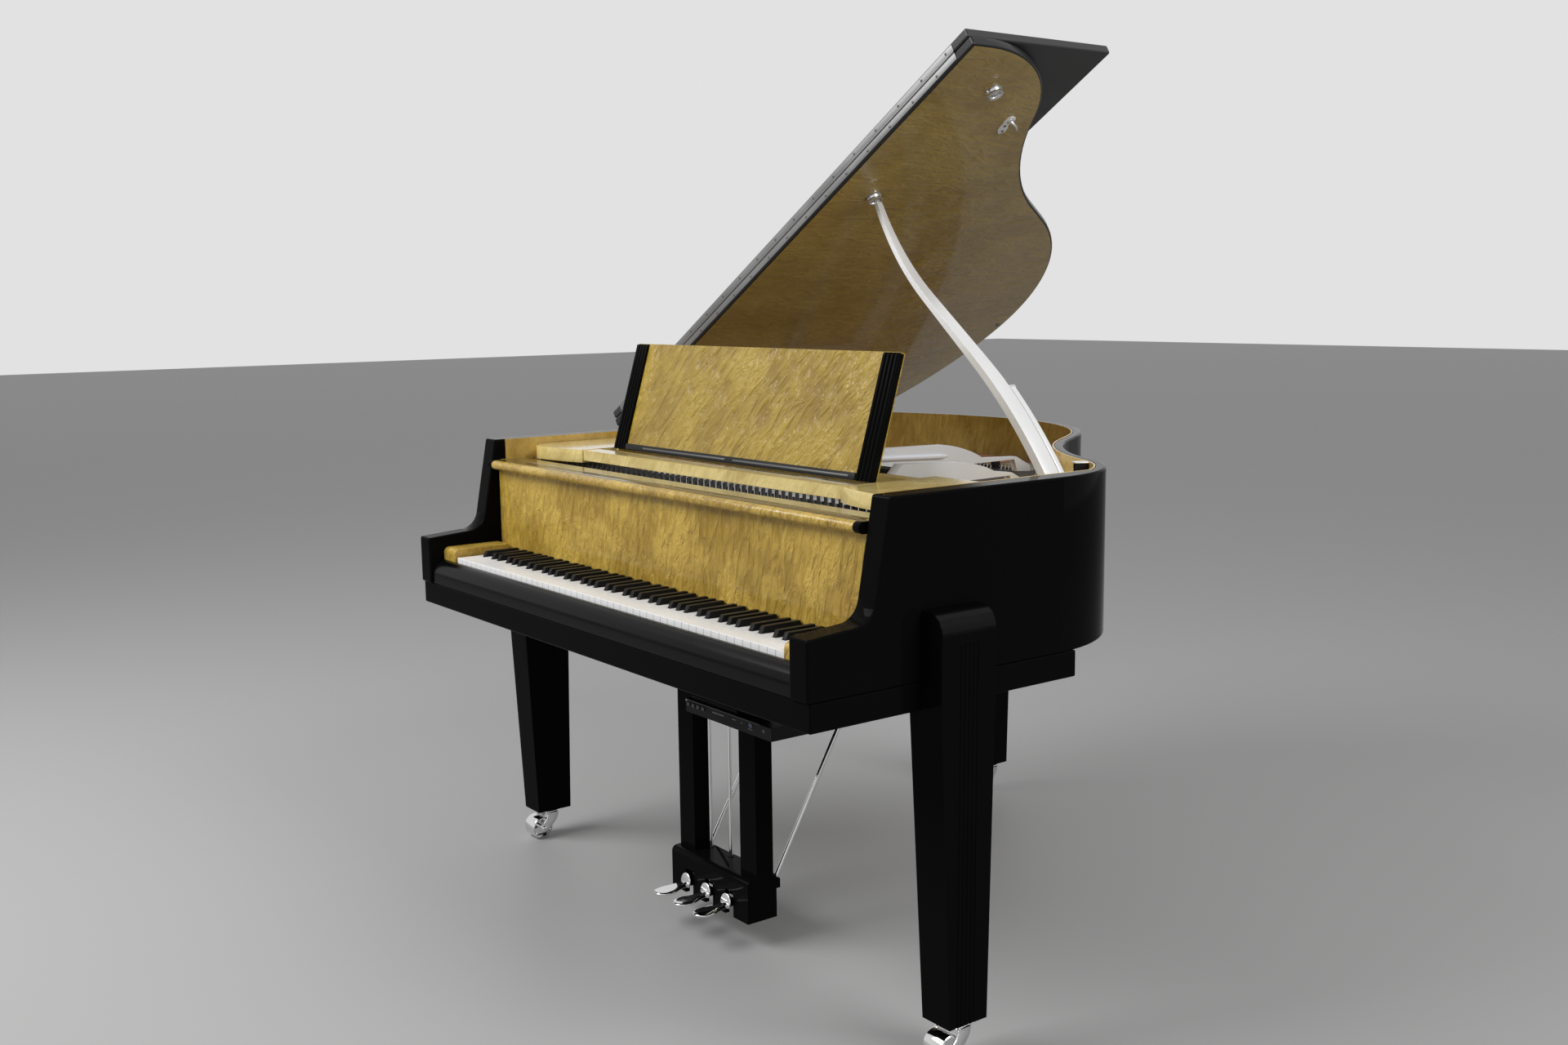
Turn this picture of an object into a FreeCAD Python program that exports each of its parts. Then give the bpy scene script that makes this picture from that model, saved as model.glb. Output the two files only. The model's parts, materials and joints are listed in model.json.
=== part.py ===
import FreeCAD, Part
import math
import os
import re

# Grand piano with a stepped case, square tapered legs and a folded front lid.
# Millimetres.  x runs from the bass side to the treble side, y from the player to the tail, z up.
# Depths are measured from the fronts of the white keys; key_front puts them into the part's own frame,
# whose origin is on the floor under the middle of the piano.

V = FreeCAD.Vector
X_AXIS = V(1, 0, 0)
Y_AXIS = V(0, 1, 0)
Z_AXIS = V(0, 0, 1)

DIMENSIONS = {
    # Case
    "key_front": -698.8,
    "case_half": 721.4,
    "rim_wall": 20,
    "cheek_wall": 48,
    "lining_wall": 3,
    "rim_bottom": 675,
    "rim_top": 990.5,
    "arm_front": -38.4,
    "arm_top": 778,
    "arm_back": 134.3,
    "tail": 1420,
    # Rim outline: radius of each bend and how far it turns
    "cheek_start": 535,
    "cheek_radius": 287,
    "cheek_turn": 66,
    "waist_radius": 713,
    "waist_turn": 33.5,
    "hip_radius": 580,
    "tail_radius": 900,
    "corner_radius": 55,
    # Keybed, slip and blocks
    "bed_front": -33,
    "bed_back": 573,
    "bed_bottom": 626,
    "slip_top": 727,
    "block_inner": 615,
    "block_top": 755,
    # Keys
    "white_pitch": 23.5,
    "white_head": 50,
    "key_gap": 1,
    "key_bottom": 715.5,
    "key_top": 737.3,
    "key_back": 440,
    "black_front": 52,
    "black_back": 137,
    "black_rise": 12,
    # Strings, plate and soundboard
    "board_bottom": 860,
    "board_top": 868,
    "frame_bottom": 876,
    "frame_top": 886,
    "plate_bottom": 903,
    "plate_top": 913,
    "string_front": 428,
    "string_level": 928,
    "bass_level": 944,
    "string_wire": 2,
    "hitch_inset": 80,
    # Action
    "hammer_pivot_y": 385,
    "hammer_pivot_z": 826,
    # Fallboard
    "fall_front": 140,
    "fall_back": 156,
    "fall_bottom": 741.5,
    "fall_top": 945,
    "fall_nose": 112,
    "fall_pivot_y": 148,
    "fall_pivot_z": 765,
    "fall_half": 668,
    # Music desk
    "tray_bottom": 946,
    "tray_top": 975,
    "tray_back": 470,
    "desk_half": 450,
    "desk_height": 244,
    "desk_thick": 12,
    "desk_hinge_y": 335,
    "desk_hinge_z": 970,
    "desk_lean": 16.7,
    # Lid
    "lid_angle": 30.75,
    "lid_hinge_x": -736.4,
    "lid_under": 993.5,
    "lid_thick": 19.5,
    "lid_front": 496,
    "lid_overhang": 16,
    "fly_depth": 373,
    "fly_overhang": 11,
    "fly_thick": 19,
    "fly_axis_y": 494,
    "fly_axis_z": 1014,
    # Lid prop
    "prop_front": 585,
    "prop_back": 621,
    "short_back": 638,
    "prop_pivot_y": 600,
    "prop_pivot_z": 973,
    # Legs and casters
    "leg_bottom": 70.4,
    "wheel_radius": 27,
    "wheel_width": 46,
    "caster_trail": 28,
    # Lyre and pedals
    "lyre_half": 140,
    "lyre_front": 275,
    "pedal_pitch": 74,
    "pedal_pivot_y": 270,
    "pedal_pivot_z": 75,
    "rod_depth": 310,
    # Running clearance of a pin in its hole
    "pin_gap": 0.06,
}

doc = FreeCAD.newDocument("grand_piano")
sheet = doc.addObject("Spreadsheet::Sheet", "dims")
for row, (alias, value) in enumerate(DIMENSIONS.items(), start=1):
    sheet.set(f"A{row}", alias)
    sheet.set(f"B{row}", str(value))
    sheet.setAlias(f"B{row}", alias)
doc.recompute()

d = {alias: float(sheet.get(alias)) for alias in DIMENSIONS}
nodes = []


# Building blocks

def expr(text):
    """Turn a formula in sheet names into an expression that reads the sheet."""
    return re.sub(r"[a-z][a-z_]*", lambda word: "dims." + word.group(), str(text))


def block(name, low, high):
    """Box between two corners, each coordinate a formula in sheet names."""
    box = doc.addObject("Part::Box", name)
    for size, start, end in zip(("Length", "Width", "Height"), low, high):
        box.setExpression(size, expr(f"({end}) - ({start})"))
    box.setExpression("Placement.Base.x", expr(low[0]))
    box.setExpression("Placement.Base.y", expr(f"key_front + ({low[1]})"))
    box.setExpression("Placement.Base.z", expr(low[2]))
    return box


def pair(name, low, high):
    """The same box on the treble side and, mirrored, on the bass side."""
    mirrored_low = (f"-({high[0]})", low[1], low[2])
    mirrored_high = (f"-({low[0]})", high[1], high[2])
    return [block(name + "_treble", low, high), block(name + "_bass", mirrored_low, mirrored_high)]


def rod(name, start, axis, radius, length):
    """Cylinder from a start point along an axis, with start, radius and length as formulas."""
    cylinder = doc.addObject("Part::Cylinder", name)
    cylinder.setExpression("Radius", expr(radius))
    cylinder.setExpression("Height", expr(length))
    cylinder.Placement = FreeCAD.Placement(V(), FreeCAD.Rotation(Z_AXIS, V(*axis)))
    cylinder.setExpression("Placement.Base.x", expr(start[0]))
    cylinder.setExpression("Placement.Base.y", expr(f"key_front + ({start[1]})"))
    cylinder.setExpression("Placement.Base.z", expr(start[2]))
    return cylinder


PLANES = {
    "XY": FreeCAD.Rotation(X_AXIS, Y_AXIS, Z_AXIS, "XYZ"),
    "YZ": FreeCAD.Rotation(Y_AXIS, Z_AXIS, X_AXIS, "XYZ"),
    "XZ": FreeCAD.Rotation(X_AXIS, Z_AXIS, -Y_AXIS, "XYZ"),
}


def sketch(name, plane, edges, offset):
    """Sketch of the given edges, on a plane moved along its own axis to offset."""
    drawing = doc.addObject("Sketcher::SketchObject", name + "_sketch")
    drawing.addGeometry(edges, False)
    drawing.Placement = FreeCAD.Placement(V(0, d["key_front"], 0), PLANES[plane])
    if plane == "XZ":
        offset = f"key_front + ({offset})"
    else:
        drawing.setExpression("Placement.Base.y", expr("key_front"))
    axis = {"XY": "z", "YZ": "x", "XZ": "y"}[plane]
    drawing.setExpression(f"Placement.Base.{axis}", expr(offset))
    return drawing


def prism(name, plane, edges, start, end):
    """Sketch edges carried from start to end along the plane's axis."""
    solid = doc.addObject("Part::Extrusion", name)
    solid.Base = sketch(name, plane, edges, end if plane == "XZ" else start)
    solid.DirMode = "Normal"
    solid.Solid = True
    solid.setExpression("LengthFwd", expr(f"({end}) - ({start})"))
    return solid


def loft(name, low_edges, low_level, high_edges, high_level):
    """Straight-sided solid between two level outlines."""
    solid = doc.addObject("Part::Loft", name)
    solid.Sections = [
        sketch(name + "_low", "XY", low_edges, low_level),
        sketch(name + "_high", "XY", high_edges, high_level),
    ]
    solid.Solid = True
    solid.Ruled = True
    return solid


def fuse(name, pieces):
    joined = doc.addObject("Part::MultiFuse", name)
    joined.Shapes = pieces
    joined.Refine = True
    return joined


def cut(name, base, tools):
    result = doc.addObject("Part::Cut", name)
    result.Base = base
    result.Tool = tools[0] if len(tools) == 1 else fuse(name + "_tools", tools)
    return result


def common(name, first, second):
    result = doc.addObject("Part::MultiCommon", name)
    result.Shapes = [first, second]
    return result


def group(name, pieces):
    """Separate solids that belong to one sub-part."""
    together = doc.addObject("Part::Compound", name)
    together.Links = pieces
    return together


def made(name, solids):
    """Sub-part whose many small solids are worked out in a loop, in keyboard depths."""
    feature = doc.addObject("Part::Feature", name)
    feature.Shape = Part.Compound(solids)
    feature.Placement = FreeCAD.Placement(V(0, d["key_front"], 0), FreeCAD.Rotation())
    return feature


def node(label, part):
    part.Label = label
    nodes.append(part)
    return part


def turn(part, point, axis, angle):
    """Turn a finished sub-part about an axis through a point given in keyboard depths."""
    centre = V(point[0], point[1] + d["key_front"], point[2])
    part.Placement = FreeCAD.Placement(V(), FreeCAD.Rotation(axis, angle), centre)
    return part


# Outlines

def polygon(points):
    corners = [V(a, b, 0) for a, b in points]
    return [Part.LineSegment(a, b) for a, b in zip(corners, corners[1:] + corners[:1])]


def line(start, end):
    return Part.LineSegment(V(*start, 0), V(*end, 0))


def arc3(start, middle, end):
    return Part.Arc(V(*start, 0), V(*middle, 0), V(*end, 0))


def around(centre, radius, degrees):
    angle = math.radians(degrees)
    return (centre[0] + radius * math.cos(angle), centre[1] + radius * math.sin(angle))


def bend(centre, radius, start, end):
    """Arc about a centre from one direction to another, in degrees."""
    middle = (start + end) / 2
    return arc3(around(centre, radius, start), around(centre, radius, middle), around(centre, radius, end))


def rim_bends():
    """Centres and directions of the rim's five bends, from the treble cheek round to the bass corner.

    Each bend is tangent to the next.  The straight run between waist and hip is as long as the tail needs.
    """
    half = d["case_half"]
    cheek = (half - d["cheek_radius"], d["cheek_start"])
    waist = around(cheek, d["cheek_radius"] + d["waist_radius"], d["cheek_turn"])
    slope = d["cheek_turn"] - d["waist_turn"]
    waist_end = around(waist, d["waist_radius"], 180 + slope)
    hip_y = d["tail"] - d["hip_radius"]
    hip_start_y = hip_y + d["hip_radius"] * math.sin(math.radians(slope))
    run = (hip_start_y - waist_end[1]) / math.cos(math.radians(slope))
    lean = math.radians(slope)
    hip_x = waist_end[0] - run * math.sin(lean) - d["hip_radius"] * math.cos(lean)
    tail_centre = (hip_x, d["tail"] - d["tail_radius"])
    corner_x = d["corner_radius"] - half
    reach = d["tail_radius"] - d["corner_radius"]
    tail_turn = math.degrees(math.asin((hip_x - corner_x) / reach))
    corner = (corner_x, tail_centre[1] + reach * math.cos(math.radians(tail_turn)))
    return cheek, waist, (hip_x, hip_y), tail_centre, corner, slope, tail_turn


CHEEK, WAIST, HIP, TAIL, CORNER, SLOPE, TAIL_TURN = rim_bends()


def rim_path(inset, front):
    """Edges of the rim outline moved inwards by inset, from the treble front round to the bass front."""
    side = d["case_half"] - inset
    cheek_r = d["cheek_radius"] - inset
    waist_r = d["waist_radius"] + inset
    hip_r = d["hip_radius"] - inset
    tail_r = d["tail_radius"] - inset
    corner_r = d["corner_radius"] - inset
    edges = [
        line((side, front), (side, d["cheek_start"])),
        bend(CHEEK, cheek_r, 0, d["cheek_turn"]),
        bend(WAIST, waist_r, 180 + d["cheek_turn"], 180 + SLOPE),
        line(around(WAIST, waist_r, 180 + SLOPE), around(HIP, hip_r, SLOPE)),
        bend(HIP, hip_r, SLOPE, 90),
    ]
    if corner_r > 1:
        edges += [
            bend(TAIL, tail_r, 90, 90 + TAIL_TURN),
            bend(CORNER, corner_r, 90 + TAIL_TURN, 180),
            line((-side, CORNER[1]), (-side, front)),
        ]
    else:
        end = math.degrees(math.asin((side + TAIL[0]) / tail_r))
        edges += [
            bend(TAIL, tail_r, 90, 90 + end),
            line(around(TAIL, tail_r, 90 + end), (-side, front)),
        ]
    return edges


def rim_region(inset, front):
    """Closed outline of everything inside the rim line moved inwards by inset."""
    side = d["case_half"] - inset
    return rim_path(inset, front) + [line((-side, front), (side, front))]


def inner_space(name, clear, front, low, high):
    """Solid filling the inside of the rim, off the curved wall and the thicker straight cheeks by clear."""
    curved = prism(name + "_curved", "XY", rim_region(d["rim_wall"] + clear, front), low, high)
    side = f"case_half - cheek_wall - {clear}"
    straight = block(name + "_straight", (f"-({side})", front - 5, low), (side, 1500, high))
    return common(name, curved, straight)


# Case

def rim_shell():
    clear = 20
    whole = prism("rim_whole", "XY", rim_region(0, d["arm_front"]), "rim_bottom", "rim_top")
    low, high = f"rim_bottom - {clear}", f"rim_top + {clear}"
    inside = inner_space("rim_inside", 0, d["arm_front"] - clear, low, high)
    walls = cut("rim_walls", whole, [inside])
    top = d["rim_top"] + clear
    ahead = d["arm_front"] - clear
    scoop_start = (62, d["arm_top"] + 7.5)
    scoop_end = (103.1, d["arm_top"] + 44.2)
    profile = [
        line((ahead, d["arm_top"]), (d["arm_front"], d["arm_top"])),
        line((d["arm_front"], d["arm_top"]), scoop_start),
        arc3(scoop_start, (90, d["arm_top"] + 19), scoop_end),
        line(scoop_end, (d["arm_back"], d["rim_top"])),
        line((d["arm_back"], d["rim_top"]), (d["arm_back"], top)),
        line((d["arm_back"], top), (ahead, top)),
        line((ahead, top), (ahead, d["arm_top"])),
    ]
    above_arms = prism("above_arms", "YZ", profile, f"-case_half - {clear}", f"case_half + {clear}")
    return cut("rim_shell", walls, [above_arms])


def rim_lining():
    """Veneer inside the rim, behind the fallboard."""
    front = 160
    low = "rim_bottom + 25"
    outside = inner_space("lining_outside", 0, front, low, "rim_top")
    inside = inner_space("lining_inside", d["lining_wall"], front - 5, f"{low} - 5", "rim_top + 5")
    return cut("rim_lining", outside, [inside])


def keybed():
    low = ("1 - case_half", "bed_front", "bed_bottom")
    high = ("case_half - 1", "bed_back", "rim_bottom")
    return block("keybed", low, high)


def key_slip():
    face = d["bed_front"]
    back = -4
    shoulder = 697
    crown = d["slip_top"]
    profile = [
        line((back, d["rim_bottom"]), (face + 3, d["rim_bottom"])),
        line((face + 3, d["rim_bottom"]), (face + 3, shoulder)),
        arc3((face + 3, shoulder), (face, (shoulder + crown) / 2), (face + 9, crown)),
        line((face + 9, crown), (back, crown)),
        line((back, crown), (back, d["rim_bottom"])),
    ]
    return prism("key_slip", "YZ", profile, "cheek_wall - case_half", "case_half - cheek_wall")


def key_blocks():
    front = -4
    back = 132
    round_over = 12
    top = d["block_top"]
    profile = [
        line((front, d["rim_bottom"]), (front, top - round_over)),
        bend((front + round_over, top - round_over), round_over, 180, 90),
        line((front + round_over, top), (back, top)),
        line((back, top), (back, d["rim_bottom"])),
        line((back, d["rim_bottom"]), (front, d["rim_bottom"])),
    ]
    treble = prism("treble_block", "YZ", profile, "block_inner", "case_half - cheek_wall")
    bass = prism("bass_block", "YZ", profile, "cheek_wall - case_half", "-block_inner")
    return group("key_blocks", [treble, bass])


def stretcher():
    """Veneered rail behind the fallboard, from lining to lining."""
    side = "case_half - cheek_wall - lining_wall"
    return block("stretcher", (f"-({side})", 160, 920), (side, 205, 944.5))


def pin_block():
    side = "case_half - cheek_wall - lining_wall - 1"
    return block("pin_block", (f"-({side})", 208, 868), (side, 430, "plate_bottom"))


def soundboard():
    return inner_space("soundboard", d["lining_wall"], 560, "board_bottom", "board_top")


def along(start, end, width):
    """Rectangle of a given width about the line between two points."""
    dx, dy = end[0] - start[0], end[1] - start[1]
    length = math.hypot(dx, dy)
    nx, ny = -dy / length * width / 2, dx / length * width / 2
    return polygon([
        (start[0] + nx, start[1] + ny), (start[0] - nx, start[1] - ny),
        (end[0] - nx, end[1] - ny), (end[0] + nx, end[1] + ny),
    ])


def narrowed(start, end, width, tip, share):
    """Strip about a line that keeps its width over a share of its length, then narrows evenly to its tip."""
    dx, dy = end[0] - start[0], end[1] - start[1]
    length = math.hypot(dx, dy)
    nx, ny = -dy / length / 2, dx / length / 2
    bend_place = (start[0] + dx * share, start[1] + dy * share)
    stations = ((start, width), (bend_place, width), (end, tip))
    left = [(place[0] + nx * wide, place[1] + ny * wide) for place, wide in stations]
    right = [(place[0] - nx * wide, place[1] - ny * wide) for place, wide in stations]
    return polygon(left + right[::-1])


def bridges():
    """Long bridge beside the bentside, hooked towards the bass, and the straight bass bridge."""
    far_end = [(-455, 972), (-450, 998)]
    first = 25
    lines = []
    for inset, tip in zip((198, 170), far_end):
        cheek_r = d["cheek_radius"] - inset
        waist_r = d["waist_radius"] + inset
        knee = around(HIP, d["hip_radius"] - inset, SLOPE)
        lines += [
            bend(CHEEK, cheek_r, first, d["cheek_turn"]),
            bend(WAIST, waist_r, 180 + d["cheek_turn"], 180 + SLOPE),
            line(around(WAIST, waist_r, 180 + SLOPE), knee),
            line(knee, tip),
        ]
    treble_end = [around(CHEEK, d["cheek_radius"] - inset, first) for inset in (198, 170)]
    lines += [line(*treble_end), line(*far_end)]
    long_bridge = prism("long_bridge", "XY", lines, "board_top", "string_level - 1")
    bass_line = along((-425, 1240), (-95, 1205), 30)
    bass_bridge = prism("bass_bridge", "XY", bass_line, "board_top", "bass_level - 1")
    return group("bridges", [long_bridge, bass_bridge])


# String plan

# Each strut: its place in the fan, then depth and height where its top has risen, starts to fall, has fallen
STRUTS = (
    (0.33, (600, 984), (875, 978), (992, 940)),
    (0.60, (548, 977), (716, 968), (808, 943)),
    (0.84, (540, 942), (620, 942), (672, 938)),
)
STRUT_WIDTH = 26
STRUT_TIP = 12


def fan(part):
    """Ends of the treble string at a fraction of the fan, from 0 at the bass break to 1 at the top note."""
    start = (-230 + 830 * part, d["string_front"] + 4)
    inset = d["hitch_inset"]
    inner_share = 0.33
    if part <= inner_share:
        share = part / inner_share
        return start, (-470 + 505 * share, 1080 + 70 * share)
    waist_r = d["waist_radius"] + inset
    bend_end = around(WAIST, waist_r, 180 + SLOPE)
    run_end = (35, 1150)
    cheek_r = d["cheek_radius"] - inset
    run = math.hypot(bend_end[0] - run_end[0], bend_end[1] - run_end[1])
    waist_len = waist_r * math.radians(d["waist_turn"])
    cheek_last = 20
    cheek_len = cheek_r * math.radians(d["cheek_turn"] - cheek_last)
    travel = (part - inner_share) / (1 - inner_share) * (run + waist_len + cheek_len)
    if travel <= run:
        share = travel / run
        return start, tuple(a + (b - a) * share for a, b in zip(run_end, bend_end))
    travel -= run
    if travel <= waist_len:
        return start, around(WAIST, waist_r, 180 + SLOPE + math.degrees(travel / waist_r))
    travel -= waist_len
    return start, around(CHEEK, cheek_r, d["cheek_turn"] - math.degrees(travel / cheek_r))


def bass_fan(part):
    """Ends of the bass string at a fraction of its fan, from the lowest note to the break."""
    start = (-600 + 338 * part, d["string_front"] + 4)
    return start, (-440 + 370 * part, 1340 - 35 * part)


def string_parts(count):
    """Evenly spaced fractions of the treble fan, without those that a strut covers."""
    clear = (STRUT_WIDTH / 2 + 5) / 830
    fractions = [(number + 0.5) / count for number in range(count)]
    return [part for part in fractions if all(abs(part - strut[0]) > clear for strut in STRUTS)]


TREBLE_STRINGS = string_parts(63)
BASS_STRINGS = [(number + 0.5) / 25 for number in range(25)]


def bar(edges, bottom, height):
    """Upright solid on a closed level outline."""
    face = Part.Face(Part.Wire([edge.toShape() for edge in edges]))
    face.translate(V(0, 0, bottom))
    return face.extrude(V(0, 0, height))


def strings():
    wire = d["string_wire"]
    solids = [bar(along(*fan(part), wire), d["string_level"], wire) for part in TREBLE_STRINGS]
    solids += [bar(along(*bass_fan(part), wire), d["bass_level"], wire) for part in BASS_STRINGS]
    return made("strings", solids)


def iron_plate():
    """Plate: web over the pin block, lower flange round the case, hitch bar for the tenor, three arched struts."""
    edge, flange = 12, 80
    step, step_end = 580, 600
    outside = inner_space("plate_outside", edge, 212, "plate_bottom", "plate_top")
    field = inner_space("plate_field", flange, 442, "plate_bottom - 5", "plate_top + 5")
    hammer_line = block("hammer_line", (-630, 442, "plate_bottom - 5"), (630, 560, "plate_top + 5"))
    behind = block("plate_behind", (-800, step_end, "plate_bottom - 5"), (800, 1500, "plate_top + 5"))
    web = cut("plate_web", outside, [field, hammer_line, behind])
    low_outside = inner_space("frame_outside", edge, step, "frame_bottom", "frame_top")
    low_field = inner_space("frame_field", flange, 442, "frame_bottom - 5", "frame_top + 5")
    frame = cut("plate_frame", low_outside, [low_field])
    cheek = d["case_half"] - d["cheek_wall"]
    risers = pair("plate_riser", (cheek - 40, step, "frame_bottom"), (cheek - edge, step_end, "plate_top"))
    hitch = prism("hitch_bar", "XY", along((-600, 1070), (110, 1172), 40), "frame_bottom", "frame_top")
    bearing_half = 636
    bearing_low = (-bearing_half, "string_front - 2", "plate_top - 5")
    bearing = block("string_bearing", bearing_low, (bearing_half, "string_front + 12", 927))
    struts = []
    for number, (part, risen, crest, fallen) in enumerate(STRUTS, start=1):
        start, end = fan(part)
        outline = narrowed(start, end, STRUT_WIDTH, STRUT_TIP, 0.72)
        plan = prism(f"strut_plan_{number}", "XY", outline, "frame_bottom", "rim_top")
        fall_mid = (crest[0] * 0.45 + fallen[0] * 0.55, crest[1] * 0.6 + fallen[1] * 0.4)
        foot = end[1] - 38
        last = end[1] + 20
        low = d["frame_top"] - 5
        side = [
            line((425, 905), (425, 938)),
            line((425, 938), (506, 938)),
            line((506, 938), risen),
            line(risen, crest),
            arc3(crest, fall_mid, fallen),
            line(fallen, (foot - 10, 936)),
            line((foot - 10, 936), (last, 902)),
            line((last, 902), (last, low)),
            line((last, low), (foot, low)),
            line((foot, low), (foot - 17, 930)),
            line((foot - 17, 930), (460, 930)),
            line((460, 930), (445, 905)),
            line((445, 905), (425, 905)),
        ]
        rise = prism(f"strut_side_{number}", "YZ", side, -650, 650)
        struts.append(common(f"strut_{number}", plan, rise))
    return fuse("iron_plate", [web, frame, hitch, bearing] + risers + struts)


def tuning_pins():
    size = 5
    rows = (232, 262, 292, 322)
    columns = 55
    pitch = 22
    first = -pitch * (columns - 1) / 2
    height = 25
    solids = []
    for row, depth in enumerate(rows):
        for column in range(columns):
            x = first + column * pitch + (row % 2) * pitch / 4
            solids.append(Part.makeBox(size, size, height, V(x - size / 2, depth, d["plate_top"])))
    return made("tuning_pins", solids)


def bracing_beams():
    """Belly rail across the case, three beams to the tail and the block that the lyre's braces meet."""
    side = "case_half - cheek_wall - lining_wall - 1"
    pieces = [
        block("belly_rail", (f"-({side})", 575, "rim_bottom"), (side, 625, "board_bottom - 1")),
        block("brace_block", (-260, 650, 690), (180, 712, 730)),
    ]
    for number, (x, end) in enumerate(((-545, 1310), (-230, 1360), (150, 1045)), start=1):
        pieces.append(block(f"beam_{number}", (x - 30, 620, 690), (x + 30, end, 790)))
    return fuse("bracing_beams", pieces)


# Legs

FLUTES = 5
FLUTE_PITCH = 9.5
FLUTE_RADIUS = 2.6


def rectangle(x_low, x_high, y_low, y_high):
    return polygon([(x_low, y_low), (x_high, y_low), (x_high, y_high), (x_low, y_high)])


def front_leg(name, side):
    """Square tapered leg whose outer part rises past the keybed as a round-topped pilaster with flutes."""
    inner, outer = 692, 771
    foot_inner, foot_outer = 696, 765
    front, back = 200, 322
    foot_front, foot_back = 225.5, 312.5
    xs = sorted((side * inner, side * outer))
    foot_xs = sorted((side * foot_inner, side * foot_outer))
    lower = loft(
        name + "_shaft",
        rectangle(*foot_xs, foot_front, foot_back), "leg_bottom",
        rectangle(*xs, front, back), "bed_bottom",
    )
    wall = d["case_half"] + 0.2
    crown = 796
    face = outer + 1.5
    shoulder = 758
    flat_end = 737
    profile = [
        line((side * wall, d["bed_bottom"]), (side * wall, crown)),
        line((side * wall, crown), (side * flat_end, crown)),
        arc3((side * flat_end, crown), (side * 763, 784), (side * face, shoulder)),
        line((side * face, shoulder), (side * outer, d["bed_bottom"])),
        line((side * outer, d["bed_bottom"]), (side * wall, d["bed_bottom"])),
    ]
    pilaster = prism(name + "_pilaster", "XZ", profile, front, back)
    slope = (face - foot_outer) / (shoulder - d["leg_bottom"])
    middle = (foot_front + foot_back) / 2 - 8
    grooves = []
    for number in range(FLUTES):
        depth = middle + (number - (FLUTES - 1) / 2) * FLUTE_PITCH
        start = (side * (foot_outer + 1.2), depth, "leg_bottom - 5")
        grooves.append(rod(f"{name}_flute_{number}", start, (side * slope, 0, 1), FLUTE_RADIUS, 675))
    return cut(name, fuse(name + "_solid", [lower, pilaster]), grooves)


def rear_leg():
    foot = rectangle(-351, -284, 1322, 1407)
    head = rectangle(-361, -277, 1306, 1418)
    return loft("rear_leg", foot, "leg_bottom", head, "rim_bottom")


CASTERS = {
    "left": (-730.5, 269),
    "right": (730.5, 269),
    "rear": (-317.5, 1364.5),
}


def caster_fork(name, place):
    """Swivel plate with two trailing cheeks and the wheel's axle."""
    x, y = place
    plate_low, plate_high = 62, 70
    cheek_in, cheek_out = 26, 30
    axle_y = y - d["caster_trail"]
    plate = rod(name + "_swivel", (x, y, plate_low), (0, 0, 1), 21, plate_high - plate_low)
    top = block(name + "_top", (x - cheek_out, y - 20, plate_low), (x + cheek_out, y + 12, plate_high - 2))
    boss = 11
    cheek = [
        line((y + 12, plate_high - 2), (y - 20, plate_high - 2)),
        line((y - 20, plate_high - 2), (axle_y - boss, 36)),
        arc3((axle_y - boss, 36), (axle_y - 2, 16), (axle_y + boss, 30)),
        line((axle_y + boss, 30), (y + 12, 52)),
        line((y + 12, 52), (y + 12, plate_high - 2)),
    ]
    cheeks = [
        prism(name + "_cheek_a", "YZ", cheek, x + cheek_in, x + cheek_out),
        prism(name + "_cheek_b", "YZ", cheek, x - cheek_out, x - cheek_in),
    ]
    axle = rod(name + "_axle", (x - cheek_out, axle_y, "wheel_radius"), (1, 0, 0), 4, 2 * cheek_out)
    return fuse(name, [plate, top, axle] + cheeks)


def caster_wheel(name, place):
    x, y = place
    start = (f"{x} - wheel_width / 2", f"{y} - caster_trail", "wheel_radius")
    tread = rod(name + "_tread", start, (1, 0, 0), "wheel_radius", "wheel_width")
    bore = rod(name + "_bore", start, (1, 0, 0), "4 + pin_gap", "wheel_width")
    return cut(name, tread, [bore])


# Lyre and pedals

PEDALS = {"left": -1, "middle": 0, "right": 1}


def lyre():
    """Two posts between a header and a hollow pedal box, with the pedals' common pivot pin."""
    box_front = 252
    box_back = 325
    box_top = 140
    round_over = 12
    outline = [
        line((box_front, 50), (box_front, box_top - round_over)),
        bend((box_front + round_over, box_top - round_over), round_over, 180, 90),
        line((box_front + round_over, box_top), (box_back, box_top)),
        line((box_back, box_top), (box_back, 50)),
        line((box_back, 50), (box_front, 50)),
    ]
    box = prism("pedal_box", "YZ", outline, "-lyre_half", "lyre_half")
    hollow_low = ("15 - lyre_half", box_front + 10, 45)
    hollow = block("pedal_hollow", hollow_low, ("lyre_half - 15", box_back - 5, 124))
    openings = [hollow]
    for name, place in PEDALS.items():
        x = place * d["pedal_pitch"]
        openings.append(block(f"{name}_slot", (x - 14, box_front - 5, 45), (x + 14, box_front + 15, 104)))
        openings.append(rod(f"{name}_rod_hole", (x, "rod_depth", 120), (0, 0, 1), 6, 25))
    shell = cut("pedal_box_shell", box, openings)
    post_inner = 84
    post_high = ("lyre_half", "lyre_front + 42", "bed_bottom")
    posts = pair("lyre_post", (post_inner, "lyre_front", box_top), post_high)
    header_high = ("lyre_half", "lyre_front + 27", "bed_bottom")
    header = block("lyre_header", ("-lyre_half", "lyre_front", 482), header_high)
    lugs = pair("brace_lug", (113, box_back, 104), (127, box_back + 19, 124))
    pin_start = ("10 - lyre_half", "pedal_pivot_y", "pedal_pivot_z")
    pin = rod("pedal_pin", pin_start, (1, 0, 0), 4, "2 * lyre_half - 20")
    return fuse("lyre", [shell, header, pin] + posts + lugs)


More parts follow.
